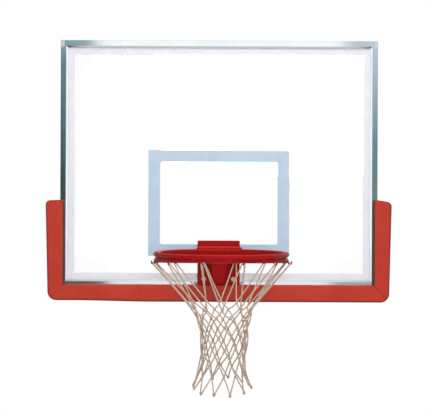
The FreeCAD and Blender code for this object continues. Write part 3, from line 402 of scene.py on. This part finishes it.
def pad_foam():
    """Self-skinned foam: a fine leathery grain, faint upright streaks and rubbed patches, with
    painted shade on its rounded edges and top ends, and on the inner lips of the uprights."""
    finish = Finish("foam_skin", Specular_IOR_Level=0.2)
    rubbed = finish.noise(7.0, 3.0)
    streak = finish.noise(1.0, 3.0, (60.0, 12.0, 3.5))
    grain = finish.cells(520.0)
    base = finish.mix(finish.span(rubbed, 0.3, 0.72), linear(182, 52, 38), linear(192, 62, 46))
    worn = finish.mix(finish.span(streak, 0.4, 0.8, 0.0, 0.22), base, linear(202, 74, 58))
    facing = finish.facing()
    place = finish.parts(finish.place())
    # Painted shade: the rounded edges darken, the flat sides less, where they don't face up, and on
    # the rounded top ends too.
    flat = finish.sums("ABSOLUTE", facing["Y"])
    edge = finish.span(flat, 0.75, 0.99, 0.9, 0.0)
    side = finish.span(flat, 0.05, 0.35, 0.35, 1.0)
    rim = finish.sums("MULTIPLY", edge, side)
    below = finish.span(facing["Z"], 0.1, 0.5, 1.0, 0.0)
    top_end = finish.span(place["Z"], *PAD_TOP_END_SHADE, 0.0, 0.6)
    dirt_and_painted_shade = finish.sums("MULTIPLY", rim, finish.sums("MAXIMUM", below, top_end))
    rim_shaded = finish.mix(dirt_and_painted_shade, worn, linear(100, 38, 28))
    # Painted shade: the inner lips of the uprights turn dark green-grey, standing for the shaded
    # strip of frame beside them.
    inward = finish.sums("MULTIPLY", place["X"], facing["X"])
    lip_shaded = finish.mix(finish.span(inward, -0.45, -0.2, 0.9, 0.0), rim_shaded, linear(62, 64, 52))
    pitted = finish.span(grain, 0.0, 0.4, 0.16, 0.0)
    finish.colour(finish.mix(pitted, lip_shaded, linear(130, 34, 26)))
    finish.rough(finish.span(rubbed, 0.3, 0.7, 0.46, 0.6))
    finish.relief((grain, 0.0002), (finish.noise(1500.0), 0.0001), (streak, 0.0002))
    return finish.material


def net_cord():
    """Braided nylon, off-white and handled: its strands cross in small diamonds along the cord,
    with painted shade in the grooves between them.
    """
    finish = Finish("braided_nylon", Roughness=0.75, Sheen_Weight=0.25)
    places = finish.parts(finish.node("ShaderNodeUVMap").outputs["UV"])
    strands, pitch = 4.0, 0.0075
    around = finish.sums("MULTIPLY", places["X"], strands * 2 * math.pi)
    along = finish.sums("MULTIPLY", places["Y"], 2 * math.pi / pitch)
    left = finish.sums("SINE", finish.sums("ADD", around, along))
    right = finish.sums("SINE", finish.sums("SUBTRACT", around, along))
    braid = finish.span(finish.sums("MAXIMUM", left, right), -0.6, 1.0)
    dirt_and_painted_shade = finish.span(finish.noise(30.0, 3.0), 0.35, 0.7)
    clean = finish.mix(dirt_and_painted_shade, linear(230, 206, 182), linear(208, 178, 152))
    # Painted shade: the colour darkens in the grooves between the strands.
    finish.colour(finish.mix(braid, linear(172, 142, 120), clean))
    finish.relief((braid, 0.0008), (finish.noise(2600.0), 0.0002))
    return finish.material


def enamel(name, pale, deep):
    """A line fired on the glass: slightly uneven in tone, smooth to the touch."""
    finish = Finish(name, Specular_IOR_Level=0.3)
    cloud = finish.noise(14.0, 4.0)
    finish.colour(finish.mix(finish.span(cloud, 0.3, 0.7), deep, pale))
    finish.rough(finish.span(finish.noise(240.0), 0.3, 0.7, 0.3, 0.42))
    finish.relief((finish.noise(600.0), 0.00004))
    return finish.material


def glass():
    """Clear tempered glass: colourless through its faces, green at its edges, faintly smeared."""
    finish = Finish("tempered_glass", Transmission_Weight=1.0, IOR=1.45, Specular_IOR_Level=0.08)
    edge = finish.span(finish.sums("ABSOLUTE", finish.facing()["Y"]), 0.2, 0.8, 1.0, 0.0)
    finish.colour(finish.mix(edge, linear(254, 255, 255), linear(120, 188, 160)))
    smear = finish.noise(5.0, 4.0, (1.0, 1.0, 0.4))
    finish.rough(finish.span(smear, 0.55, 0.8, 0.0, 0.03))
    return finish.material


def rubber():
    """Matt black extruded rubber with a dusty bloom."""
    finish = Finish("black_rubber", Specular_IOR_Level=0.3)
    bloom = finish.noise(70.0, 4.0)
    finish.colour(finish.mix(bloom, linear(24, 24, 26), linear(52, 52, 54)))
    finish.rough(finish.span(bloom, 0.3, 0.7, 0.62, 0.85))
    finish.relief((finish.noise(800.0), 0.00015))
    return finish.material


def bracket_paint():
    """Dark grey powder coat with its fine pebbled surface."""
    finish = Finish("grey_powder_coat")
    cloud = finish.noise(30.0, 3.0)
    finish.colour(finish.mix(cloud, linear(84, 88, 92), linear(112, 116, 120)))
    finish.rough(finish.span(cloud, 0.3, 0.7, 0.42, 0.58))
    finish.relief((finish.cells(900.0), 0.00012))
    return finish.material


def cast_aluminium():
    """Plain sand-cast aluminium."""
    finish = Finish("cast_aluminium", Metallic=1.0)
    grain = finish.noise(600.0, 3.0)
    finish.colour(finish.mix(grain, linear(168, 170, 172), linear(204, 206, 206)))
    finish.rough(finish.span(grain, 0.3, 0.7, 0.45, 0.65))
    finish.relief((grain, 0.0002))
    return finish.material


def nylon():
    """Natural nylon, slightly milky."""
    finish = Finish("natural_nylon", Subsurface_Weight=0.2, Subsurface_Scale=0.003)
    cloud = finish.noise(90.0, 3.0)
    finish.colour(finish.mix(cloud, linear(216, 214, 204), linear(236, 234, 226)))
    finish.rough(finish.span(cloud, 0.3, 0.7, 0.4, 0.55))
    return finish.material


GRAIN_ALONG, GRAIN_ACROSS = 7.0, 1500.0
LEVEL_GRAIN = (GRAIN_ALONG, GRAIN_ACROSS, GRAIN_ACROSS)
UPRIGHT_GRAIN = (GRAIN_ACROSS, GRAIN_ACROSS, GRAIN_ALONG)
MATERIALS = {
    "glass": glass(),
    "black_rubber": rubber(),
    "border_enamel": enamel("border_enamel", linear(236, 236, 242), linear(228, 228, 234)),
    "target_enamel": enamel("target_enamel", linear(188, 207, 224), linear(180, 199, 217)),
    "aluminium_level": aluminium("brushed_aluminium_level", LEVEL_GRAIN),
    "aluminium_upright": aluminium("brushed_aluminium_upright", UPRIGHT_GRAIN),
    "cast_aluminium": cast_aluminium(),
    "zinc_steel": zinc("zinc_plate", linear(216, 218, 204), linear(182, 190, 166)),
    # A darker copy of the zinc plate, given to the washers.
    "zinc_darker": zinc("zinc_plate_darker", linear(112, 88, 80), linear(92, 74, 66)),
    "zinc_yellow": zinc("zinc_plate_yellow", linear(208, 196, 170), linear(172, 158, 128)),
    "goal_paint": goal_paint("red_enamel", 0.12, linear(142, 8, 14), linear(170, 18, 20)),
    "goal_paint_dull": goal_paint(
        "red_enamel_dull", 0.04, linear(158, 14, 18), linear(184, 25, 26)),
    "bracket_steel": bracket_paint(),
    "bushing_plastic": nylon(),
    "net_cord": net_cord(),
    "pad_foam": pad_foam(),
}
OWN_FINISH = {
    "frame_left": "aluminium_upright",
    "frame_right": "aluminium_upright",
    "frame_bottom": "aluminium_level",
    "frame_top": "aluminium_level",
    "goal_flange": "goal_paint_dull",
    "goal_brace": "goal_paint_dull",
    "goal_bolts": "zinc_yellow",
    "goal_washers": "zinc_darker",
}


def soften(item, width):
    """Round an item's hard edges by a small width."""
    item.modifiers.new("weld", "WELD").merge_threshold = EDGE_MERGE
    bevel = item.modifiers.new("edges", "BEVEL")
    bevel.width = width
    bevel.segments = 2
    bevel.limit_method = "ANGLE"
    bevel.angle_limit = EDGE_ANGLE
    item.modifiers.new("normals", "WEIGHTED_NORMAL").keep_sharp = True


def finish_nodes():
    """Give every solid that stays in view its finish, and break the edges of sheet and bar."""
    for part in frame["record"]["subparts"]:
        name = part["node"]
        slots = nodes[name].data.materials
        slots.clear()
        slots.append(MATERIALS[OWN_FINISH.get(name, part["material_slot"])])
    for name, width in EDGE_WIDTHS.items():
        soften(nodes[name], width)
    for level in ("lower", "upper"):
        for side in ("left", "right"):
            soften(nodes[f"mount_bracket_{level}_{side}"], BRACKET_EDGE)


def add_piece(name, mesh, slot, replaced=()):
    """Put a mesh into the scene as a piece of the part."""
    piece = bpy.data.objects.new(name, mesh)
    bpy.context.scene.collection.objects.link(piece)
    mesh.materials.append(MATERIALS[slot])
    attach(piece, "root")
    if replaced:
        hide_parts(*replaced)
    return piece


def tubes(name, routes, sides=10):
    """One mesh of round tubes. Each route is a list of points and a radius for each point."""
    points, faces, uvs = [], [], []
    turns = [2 * math.pi * j / sides for j in range(sides)]
    for places, radii in routes:
        first = len(points)
        count = len(places)
        along = 0.0
        across = None
        for i, place in enumerate(places):
            ahead = (places[min(i + 1, count - 1)] - places[max(i - 1, 0)]).normalized()
            if across is None:
                across = ahead.orthogonal()
            across = (across - ahead * across.dot(ahead)).normalized()
            aside = ahead.cross(across)
            if i:
                along += (place - places[i - 1]).length
            for j, turn in enumerate(turns):
                points.append(place + (across * math.cos(turn) + aside * math.sin(turn)) * radii[i])
                uvs.append((j / sides, along))
        for i in range(count - 1):
            row = first + i * sides
            for j in range(sides):
                k = (j + 1) % sides
                faces.append((row + j, row + k, row + sides + k, row + sides + j))
        last = first + (count - 1) * sides
        faces.append(tuple(first + j for j in reversed(range(sides))))
        faces.append(tuple(last + j for j in range(sides)))
    mesh = bpy.data.meshes.new(name)
    mesh.from_pydata(points, [], faces)
    layer = mesh.uv_layers.new(name="UVMap")
    for polygon in mesh.polygons:
        wraps = max(uvs[v][0] for v in polygon.vertices) > 0.5
        for corner, vertex in zip(polygon.loop_indices, polygon.vertices):
            u, v = uvs[vertex]
            layer.data[corner].uv = (u + 1 if wraps and u == 0 else u, v)
    mesh.polygons.foreach_set("use_smooth", [len(p.vertices) == 4 for p in mesh.polygons])
    mesh.update()
    return mesh


def smooth_route(points, steps):
    """Points along a smooth curve through the given ones."""
    route = []
    for i in range(len(points) - 1):
        before = points[i - 1] if i else points[0] * 2 - points[1]
        start, end = points[i], points[i + 1]
        after = points[i + 2] if i + 2 < len(points) else end * 2 - start
        pull = 2 * before - 5 * start + 4 * end - after
        twist = 3 * start - before - 3 * end + after
        for j in range(steps):
            t = j / steps
            route.append(0.5 * (2 * start + (end - before) * t + pull * t ** 2 + twist * t ** 3))
    route.append(points[-1].copy())
    return route


def along_line(points, shares):
    """Points at the given shares of a broken line's length."""
    reached = [0.0]
    for start, end in zip(points, points[1:]):
        reached.append(reached[-1] + (end - start).length)
    found = []
    for share in shares:
        goal = share * reached[-1]
        i = next((k for k in range(1, len(points)) if reached[k] >= goal - 1e-9), len(points) - 1)
        part = (goal - reached[i - 1]) / (reached[i] - reached[i - 1])
        found.append(points[i - 1].lerp(points[i], part))
    return found


def build_hooks():
    """Twelve bent wire hooks with rounded ends, welded to the outer side of the lower ring."""
    routes = []
    bend_steps = 12
    level = HOOK_LOW + HOOK_BEND
    for i in range(NET_LOOPS):
        turn = Matrix.Rotation((i + 0.5) * NET_STEP, 4, "Z")
        foot = (-HOOK_BEND - HOOK_FOOT_IN, -HOOK_ROOT + HOOK_FOOT_UP)
        profile = [foot, (-HOOK_BEND, -HOOK_ROOT)]
        radii = list(HOOK_FOOT_RADII)
        for j in range(bend_steps + 1):
            angle = math.pi * (1 + j / bend_steps)
            profile.append((HOOK_BEND * math.cos(angle), level + HOOK_BEND * math.sin(angle)))
            radii.append(HOOK_WIRE / 2)
        for rise, share in HOOK_END:
            profile.append((HOOK_BEND, level + HOOK_TIP * rise))
            radii.append(HOOK_WIRE / 2 * share)
        route = [LOWER_RING @ turn @ Vector((HOOK_RADIUS + out, 0, up)) for out, up in profile]
        routes.append((route, radii))
    add_piece("net_hook_wires", tubes("net_hook_wires", routes), "goal_paint", ["net_hooks"])


def bead(corners, radius, pitch=BEAD_PITCH):
    """A weld bead along a broken line: a tube that swells at each drop and tapers at its ends."""
    drop_steps, taper_steps = 4, 6
    length = sum((end - start).length for start, end in zip(corners, corners[1:]))
    count = max(8, round(drop_steps * length / pitch))
    places = along_line(corners, [i / count for i in range(count + 1)])
    radii = []
    for i in range(count + 1):
        swell = 1 - BEAD_SWELL + BEAD_SWELL * abs(math.sin(math.pi * i / drop_steps))
        taper = min(1.0, BEAD_TIP + min(i, count - i) / taper_steps)
        radii.append(radius * swell * taper)
    return places, radii


def ring_arc(ring, radius, height, start, end, steps):
    """Points along a ring, between two turns in degrees; 90 is next to the board."""
    points = []
    for i in range(steps + 1):
        turn = math.radians(start + (end - start) * i / steps)
        points.append(ring @ Vector((radius * math.cos(turn), radius * math.sin(turn), height)))
    return points


def build_welds():
    """The beads that join plate, flange, brace, rings and web."""
    width = flange_high.x - FLANGE_BEAD_INSET
    half = brace_high.x
    over = [Vector((sign * width, PLATE_FRONT, flange_high.z)) for sign in (-1, 1)]
    beads = [bead(over, FLANGE_BEAD)]
    for sign in (-1, 1):
        ends = (width, half + BRACE_BEAD_GAP)
        under = [Vector((sign * x, PLATE_FRONT, flange_low.z)) for x in ends]
        beads.append(bead(under, FLANGE_BEAD))
        flank = [
            Vector((sign * half, PLATE_FRONT, flange_low.z)),
            Vector((sign * half, PLATE_FRONT, flange_low.z - BRACE_KNEE)),
            Vector((sign * BRACE_LOW_HALF, PLATE_FRONT, brace_low.z)),
        ]
        beads.append(bead(flank, BRACE_BEAD))
    turn = math.degrees(math.asin(width / RING_RADIUS))
    radius, height = RING_RADIUS - CROWN_BEAD_IN, RING_BAR / 2 + CROWN_BEAD_UP
    crown = ring_arc(UPPER_RING, radius, height, 90 - turn, 90 + turn, CROWN_STEPS)
    beads.append(bead(crown, CROWN_BEAD))
    radius = RING_RADIUS + RING_BAR / 2 - SEAT_BEAD_IN
    for height in (-SEAT_BEAD_UP, SEAT_BEAD_UP):
        beads.append(bead(ring_arc(LOWER_RING, radius, height, *SEAT_TURN, SEAT_STEPS), SEAT_BEAD))
    for ring, height in ((UPPER_RING, -RING_BAR / 2), (LOWER_RING, RING_BAR / 2)):
        for side in (-1, 1):
            seam = ring_arc(ring, RING_RADIUS + side * WEB_HALF, height, *WEB_TURN, WEB_STEPS)
            beads.append(bead(seam, WEB_BEAD, WEB_BEAD_PITCH))
    add_piece("goal_welds", tubes("goal_welds", beads, BEAD_SIDES), "goal_paint")


def row_drop(row):
    """How far a row of knots hangs below the first one; the rows grow longer downwards."""
    count = row - 1
    return count * NET_PITCH + count * (count - 1) / 2 * NET_PITCH_GROWTH


def net_profile(row):
    """Radius and height of a row of knots: a funnel that closes to the throat and flares below."""
    drop = row_drop(row)
    mouth = NET_MOUTH * math.exp(-drop / NET_MOUTH_DEPTH)
    flare = NET_FLARE * math.exp((drop - row_drop(NET_ROWS)) / NET_FLARE_DEPTH)
    return NET_THROAT + mouth + flare, RING_TOP - NET_FIRST_DROP - drop


def net_drift():
    """How far each knot hangs from its regular place: turned, out and up, more towards the foot."""
    draw = random.Random(DRIFT_SEED)
    drift = {}
    for row in range(1, NET_ROWS + 1):
        slack = DRIFT_LEAST + (1 - DRIFT_LEAST) * row / NET_ROWS
        for half in range(2 * NET_LOOPS):
            turn = draw.uniform(-DRIFT_TURN, DRIFT_TURN) * slack
            out = draw.uniform(-DRIFT_OUT, DRIFT_OUT) * slack
            up = draw.uniform(-DRIFT_UP, DRIFT_UP) * slack
            drift[row, half] = (turn, out, up)
    return drift


def knot_loop(centre, outward, is_tip):
    """The cord wrapped round a crossing, as the three lobes of an overhand knot."""
    upward = Vector((0, 0, 1))
    sideways = upward.cross(outward)
    reach, lift = (TIP_REACH, TIP_LIFT) if is_tip else (KNOT_REACH, KNOT_LIFT)
    steps = 42
    places = []
    for i in range(steps + 1):
        t = 2 * math.pi * i / steps
        spread = reach + lift * math.cos(3 * t)
        across, up = spread * math.cos(2 * t), spread * math.sin(2 * t) * KNOT_HEIGHT
        local = sideways * across + upward * up
        places.append(centre + local + outward * (lift * math.sin(3 * t)))
    return places, [KNOT_RADIUS] * len(places)


def build_net():
    """Twelve cords over the hooks, knotted where they cross, with a knot and a tail at each tip."""
    drift = net_drift()
    half_step = NET_STEP / 2

    def knot(row, half, side):
        """A crossing; side moves it half a cord in or out, so that two cords pass each other."""
        radius, height = net_profile(row)
        above, below = net_profile(row - 1), net_profile(row + 1)
        slope = math.atan2(above[0] - below[0], above[1] - below[1])
        turn, out, up = drift[row, half % (2 * NET_LOOPS)]
        apart = side * (NET_CORD / 2 + NET_GAP)
        radius += out + apart * math.cos(slope)
        height += up - apart * math.sin(slope)
        angle = half * half_step + turn
        x = radius * math.cos(angle) + NET_SWAY * math.sin(math.pi * row / (NET_ROWS + 1))
        return Vector((x, RING_AXIS_Y + radius * math.sin(angle), height))

    def crown(half):
        """The bend of a cord over its hook."""
        clear = (HOOK_WIRE + NET_CORD) / 2 + NET_GAP
        turn = Matrix.Rotation(half * half_step, 4, "Z")
        steps = 6
        points = []
        for i in range(steps + 1):
            angle = math.pi * (1 - i / steps)
            along, up = clear * math.cos(angle), HOOK_LOW + clear * math.sin(angle)
            points.append(LOWER_RING @ turn @ Vector((HOOK_RADIUS, along, up)))
        return points

    routes = []
    for i in range(NET_LOOPS):
        half = 2 * i + 1
        rising = [knot(row, half - row, -1) for row in range(NET_ROWS, 0, -1)]
        falling = [knot(row, half + row, 1) for row in range(1, NET_ROWS + 1)]
        up_leg = smooth_route(rising + crown(half)[:1], CORD_STEPS)
        down_leg = smooth_route(crown(half)[-1:] + falling, CORD_STEPS)
        route = up_leg[:-1] + crown(half) + down_leg[1:]
        routes.append((route, [NET_CORD / 2] * len(route)))

    draw = random.Random(TAIL_SEED)
    for row in range(1, NET_ROWS + 1):
        for i in range(NET_LOOPS):
            half = 2 * i + 1 + row
            centre = (knot(row, half, -1) + knot(row, half, 1)) / 2
            outward = Vector((centre.x, centre.y - RING_AXIS_Y, 0)).normalized()
            is_tip = row == NET_ROWS
            routes.append(knot_loop(centre, outward, is_tip))
            if is_tip:
                lean = [draw.uniform(-TAIL_LEAN, TAIL_LEAN) for _ in range(2)]
                hang = Vector((*lean, -1))
                tail = draw.uniform(TAIL_SHORTEST, TAIL_LONGEST)
                places = [centre + hang * (tail * down) for down, _ in TAIL_PROFILE]
                routes.append((places, [NET_CORD * width for _, width in TAIL_PROFILE]))
    add_piece("net_cords", tubes("net_cords", routes, CORD_SIDES), "net_cord", ["net"])


def rounded(before, corner, after, radius, steps):
    """The arc that rounds the corner between two straight edges."""
    back, ahead = (before - corner).normalized(), (after - corner).normalized()
    half = back.angle(ahead) / 2
    centre = corner + (back + ahead).normalized() * (radius / math.sin(half))
    start = corner + back * (radius / math.tan(half)) - centre
    end = corner + ahead * (radius / math.tan(half)) - centre
    return [centre + start.slerp(end, i / steps) * radius for i in range(steps + 1)]


def inset_at(distance, radius):
    """How far a rounded rim stands back at a distance from the end of the padding."""
    if distance >= radius:
        return 0.0
    return radius - math.sqrt(radius ** 2 - (radius - distance) ** 2)


def pad_section(inner, slot, outer, face_inset=0.0, side_inset=0.0, is_notched=False):
    """One closed outline of the padding: lips before and behind the frame, and a thick outer edge.
    A notched one has no rear lip, where a bracket stands."""
    away = (outer - inner).normalized()
    outer = outer - away * side_inset
    front, rear = PAD_FRONT + face_inset, PAD_REAR - face_inset
    slot_front, slot_rear = FRAME_FRONT - PAD_GAP, FRAME_REAR + PAD_GAP
    tip = slot - away * PAD_GAP if is_notched else inner
    edge = max(PAD_EDGE - face_inset, PAD_LEAST_EDGE)

    def at(base, out, depth):
        place = base + away * out
        return Vector((place.x, depth, place.y))

    def quarter(base, out_sign, depth, depth_sign, radius, is_outward):
        """A rounded corner between a face and a side; outward ones run from face to side."""
        turns = [math.pi / 2 * i / PAD_EDGE_STEPS for i in range(PAD_EDGE_STEPS + 1)]
        if not is_outward:
            turns = turns[::-1]
        corner = []
        for turn in turns:
            out = out_sign * radius * (1 - math.sin(turn))
            corner.append(at(base, out, depth + depth_sign * radius * (1 - math.cos(turn))))
        return corner

    outline = [at(inner, 0, slot_front)]
    outline += quarter(inner, 1, front, 1, PAD_LIP_EDGE, False)
    width = (outer - inner).length
    for share in PAD_FACE_SHARES:
        place = at(inner, PAD_LIP_EDGE + (width - PAD_LIP_EDGE - edge) * share, front)
        wave = PAD_WAVE * noise.noise(place * PAD_WAVE_SCALE)
        place.y += wave - PAD_CROWN * share * (1 - share)
        outline.append(place)
    outline += quarter(outer, -1, front, 1, edge, True)
    for share in PAD_SIDE_SHARES:
        outline.append(at(outer, 0, front + edge + (rear - front - 2 * edge) * share))
    outline += quarter(outer, -1, rear, -1, edge, False)
    tip_width = (outer - tip).length
    for share in reversed(PAD_FACE_SHARES):
        outline.append(at(tip, PAD_LIP_EDGE + (tip_width - PAD_LIP_EDGE - edge) * share, rear))
    outline += quarter(tip, 1, rear, -1, PAD_LIP_EDGE, True)
    outline.append(at(tip, 0, slot_rear))
    for depth in (slot_rear, (slot_rear + slot_front) / 2, slot_front):
        outline.append(at(slot, 0, depth))
    return outline


def pad_low(x):
    """Height of the padding's lower edge, which hangs slightly lower towards the right."""
    share = min(max((x - PAD_SAG_START) / (PAD_SAG_END - PAD_SAG_START), 0.0), 1.0)
    return PAD_BOTTOM - PAD_SAG * share * share * (3 - 2 * share)


def pad_corner(side):
    """The top of a side's outer edge, and the arc of its lower corner from side to bottom."""
    sign = SIGNS[side]
    width = HALF_WIDTH + PAD_FULLER[side]
    top = Vector((sign * (width + PAD_SIDE_TOP), PAD_TOP + PAD_RISE[side] - PAD_SLOPE[side]))
    low = Vector((sign * (width + PAD_SIDE_LOW), pad_low(sign * HALF_WIDTH)))
    return top, rounded(top, low, Vector((0, low.y)), PAD_CORNER, PAD_CORNER_STEPS)


def mitre_sections(side, inner_line, slot_line, outer_line):
    """Outlines that fan out to a mitre, with a shallow groove where the two pieces meet."""
    lines = [along_line(line, FAN_SHARES) for line in (inner_line, slot_line, outer_line)]
    sections = []
    for share, inner, slot, outer in zip(FAN_SHARES, *lines):
        groove = PAD_CREASE[side] * max(0.0, 1 - (1 - share) / CREASE_REACH) ** 2
        sections.append(pad_section(inner, slot, outer, groove, groove * CREASE_SIDE))
    return sections


def side_sections(side):
    """Outlines of a side piece, from its rounded top end down to the mitre."""
    sign = SIGNS[side]
    top, arc = pad_corner(side)
    bracket_low, bracket_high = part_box(f"mount_bracket_lower_{side}")
    notch_low, notch_high = bracket_low.z - NOTCH_GAP, bracket_high.z + NOTCH_GAP
    highest = PAD_TOP + PAD_RISE[side]
    length = highest - FAN_Z
    marks = list(PAD_END_MARKS)
    for i in range(PAD_SIDE_STEPS + 1):
        marks.append(PAD_END_CORNER + (length - PAD_END_CORNER) * i / PAD_SIDE_STEPS)
    for edge in (notch_high, notch_low):
        marks += [highest - edge - NOTCH_EDGE, highest - edge + NOTCH_EDGE]
    fan_start = top.lerp(arc[0], (top.y - FAN_Z) / (top.y - arc[0].y))
    sections = []
    for mark in sorted(marks):
        inner = Vector((sign * PAD_INNER_X, highest - mark))
        outer = top.lerp(fan_start, mark / length)
        slot = inner.lerp(outer, (SLOT_X - PAD_INNER_X) / abs(outer.x - inner.x))
        inner.x += sign * inset_at(mark, PAD_LIP_CORNER)
        insets = inset_at(mark, PAD_EDGE), inset_at(mark, PAD_END_CORNER)
        is_notched = notch_low < inner.y < notch_high
        sections.append(pad_section(inner, slot, outer, *insets, is_notched))
    inner_line = [Vector((sign * PAD_INNER_X, z)) for z in (FAN_Z, PAD_INNER_Z)]
    slot_corners = ((SLOT_X, FAN_Z), (SLOT_X, SLOT_Z), (SLOT_MITRE, SLOT_Z))
    slot_line = [Vector((sign * x, z)) for x, z in slot_corners]
    outer_line = [fan_start] + arc[:len(arc) // 2 + 1]
    return sections + mitre_sections(side, inner_line, slot_line, outer_line)


def bottom_sections():
    """Outlines of the bottom piece, from mitre to mitre."""
    halves = {}
    for side, sign in SIGNS.items():
        arc = pad_corner(side)[1]
        inner_line = [Vector((sign * x, PAD_INNER_Z)) for x in (FAN_X, PAD_INNER_X)]
        slot_line = [Vector((sign * x, SLOT_Z)) for x in (FAN_X, SLOT_MITRE)]
        outer_line = [Vector((sign * FAN_X, pad_low(sign * FAN_X)))] + arc[:len(arc) // 2 - 1:-1]
        halves[side] = mitre_sections(side, inner_line, slot_line, outer_line)
    count = round(2 * FAN_X / PAD_STEP)
    straight = []
    for i in range(count + 1):
        x = FAN_X * (2 * i / count - 1)
        inner, slot, outer = (Vector((x, z)) for z in (PAD_INNER_Z, SLOT_Z, pad_low(x)))
        straight.append(pad_section(inner, slot, outer))
    return halves["left"][::-1] + straight + halves["right"]


def lofted(name, sections):
    """A closed mesh through outlines of equal count, with a flat cap at each end."""
    count = len(sections[0])
    points = [place for section in sections for place in section]
    faces = [tuple(range(count)), tuple(range(len(points) - count, len(points)))]
    for row in range(0, len(points) - count, count):
        for j in range(count):
            k = (j + 1) % count
            faces.append((row + j, row + k, row + count + k, row + count + j))
    mesh = bpy.data.meshes.new(name)
    mesh.from_pydata(points, [], faces)
    shape = bmesh.new()
    shape.from_mesh(mesh)
    bmesh.ops.recalc_face_normals(shape, faces=shape.faces)
    shape.to_mesh(mesh)
    shape.free()
    mesh.polygons.foreach_set("use_smooth", [True] * len(mesh.polygons))
    mesh.set_sharp_from_angle(angle=PAD_SHARP)
    return mesh


def build_pads():
    """Three moulded foam edges, slotted over the frame and mitred at the corners."""
    outlines = {
        "left": side_sections("left"),
        "bottom": bottom_sections(),
        "right": side_sections("right"),
    }
    for side, sections in outlines.items():
        node = f"edge_pad_{side}"
        piece = add_piece(f"{node}_foam", lofted(f"{node}_foam", sections), "pad_foam", [node])


def build_floor():
    """A pale floor ten feet under the ring, white far away where the view passes the board."""
    bpy.ops.mesh.primitive_plane_add(size=FLOOR_SIZE, location=(0, 0, FLOOR))
    floor = bpy.context.object
    floor.name = "floor"
    paint = Finish("pale_floor")
    paint.colour(paint.mix(paint.noise(0.6), linear(226, 226, 226), linear(234, 234, 234)))
    glow = paint.node("ShaderNodeEmission", {"Color": WHITE, "Strength": 1.0})
    place = paint.node("ShaderNodeNewGeometry").outputs["Position"]
    level = paint.node("ShaderNodeVectorMath", {0: place, 1: (1, 1, 0)}, operation="MULTIPLY")
    away = paint.node("ShaderNodeVectorMath", {0: level.outputs["Vector"]}, operation="LENGTH")
    seen = paint.seen_rays()
    white = paint.span(away.outputs["Value"], *FLOOR_WHITE, FLOOR_NEAR_SHARE, 1.0)
    paint.blend(paint.sums("MULTIPLY", seen, white), paint.surface, glow, "Material Output")
    floor.data.materials.append(paint.material)


def build_wall():
    """A card in front of the board that only reflections see: white, with a dark column on each
    side that widens above and below."""
    upright = (math.radians(90), 0, 0)
    bpy.ops.mesh.primitive_plane_add(size=1, location=WALL_PLACE, rotation=upright)
    wall = bpy.context.object
    wall.name = "front_wall"
    wall.scale = WALL_SIZE
    for ray in ("camera", "diffuse", "transmission", "volume_scatter", "shadow"):
        setattr(wall, f"visible_{ray}", False)
    tone = Finish("front_wall")
    place = tone.parts(tone.node("ShaderNodeNewGeometry").outputs["Position"])
    height = tone.span(place["Z"], *WALL_HEIGHTS)
    left = tone.ramp(height, [
        (0.0, linear(105, 100, 92)), (0.13, linear(30, 40, 35)), (0.46, linear(42, 70, 68)),
        (0.90, linear(100, 128, 136)), (0.98, linear(148, 168, 178))])
    right = tone.ramp(height, [
        (0.0, linear(180, 180, 178)), (0.13, linear(40, 45, 35)), (0.37, linear(104, 130, 130)),
        (0.58, linear(104, 132, 138)), (0.71, linear(143, 164, 178)),
        (0.98, linear(200, 206, 216))])
    middle = tone.mix(tone.span(place["Z"], -0.65, -0.45), linear(238, 236, 242), WHITE)
    above = tone.span(place["Z"], 1.5, 1.8, 0.0, 0.2)
    below = tone.span(place["Z"], -0.75, -0.6, 0.35, 0.0)
    widened = tone.sums("MAXIMUM", above, below)
    from_left = tone.sums("SUBTRACT", place["X"], widened)
    from_right = tone.sums("ADD", place["X"], widened)
    centre = tone.mix(tone.span(from_left, *WALL_LEFT), left, middle)
    colour = tone.mix(tone.span(from_right, *WALL_RIGHT), centre, right)
    glow = tone.node("ShaderNodeEmission", {"Color": colour, "Strength": WALL_GLOW})
    tone.links.new(glow.outputs[0], tone.nodes["Material Output"].inputs["Surface"])
    wall.data.materials.append(tone.material)


def add_light(name, place, size, power):
    """A square softbox turned towards the board."""
    lamp = bpy.data.lights.new(name, "AREA")
    lamp.size = size
    lamp.energy = power
    item = bpy.data.objects.new(name, lamp)
    item.location = place
    item.rotation_mode = "QUATERNION"
    item.rotation_quaternion = (Vector(LIGHT_AIM) - Vector(place)).to_track_quat("-Z", "Y")
    item.visible_glossy = False
    bpy.context.scene.collection.objects.link(item)
    return item


def build_light():
    """White surroundings where they are seen, a softer level for the light, and softboxes in front
    of the board, above it and behind it. The front one doesn't show through the glass."""
    world = bpy.data.worlds.new("studio")
    bpy.context.scene.world = world
    world.use_nodes = True
    sky = Shading(world.node_tree)
    seen = sky.node("ShaderNodeBackground", {"Color": WHITE, "Strength": 1.0})
    up = sky.parts(sky.node("ShaderNodeTexCoord").outputs["Generated"])["Z"]
    level = sky.span(up, -0.2, 0.9, *SKY_LEVELS)
    light = sky.node("ShaderNodeBackground", {"Color": SKY_TINT, "Strength": level})
    sky.blend(sky.seen_rays(), light, seen, "World Output")

    lamps = {name: add_light(name, *values) for name, values in SOFTBOXES.items()}
    lamps["front_softbox"].visible_transmission = False


def build_camera():
    """A level camera in front of the goal, with the photograph's framing."""
    lens = bpy.data.cameras.new("camera")
    lens.lens = CAMERA_LENS
    lens.sensor_width = CAMERA_SENSOR
    lens.shift_x = (PHOTO_WIDTH / 2 - SIGHT_X) / PHOTO_WIDTH
    lens.shift_y = (SIGHT_Y - PHOTO_HEIGHT / 2) / PHOTO_WIDTH
    camera = bpy.data.objects.new("camera", lens)
    camera.location = CAMERA_PLACE
    camera.rotation_euler = (math.radians(90), -CAMERA_ROLL, 0)
    bpy.context.scene.collection.objects.link(camera)
    bpy.context.scene.camera = camera


finish_nodes()
build_hooks()
build_welds()
build_net()
build_pads()
build_floor()
build_wall()
build_light()
build_camera()
bpy.context.scene.view_settings.view_transform = "Standard"
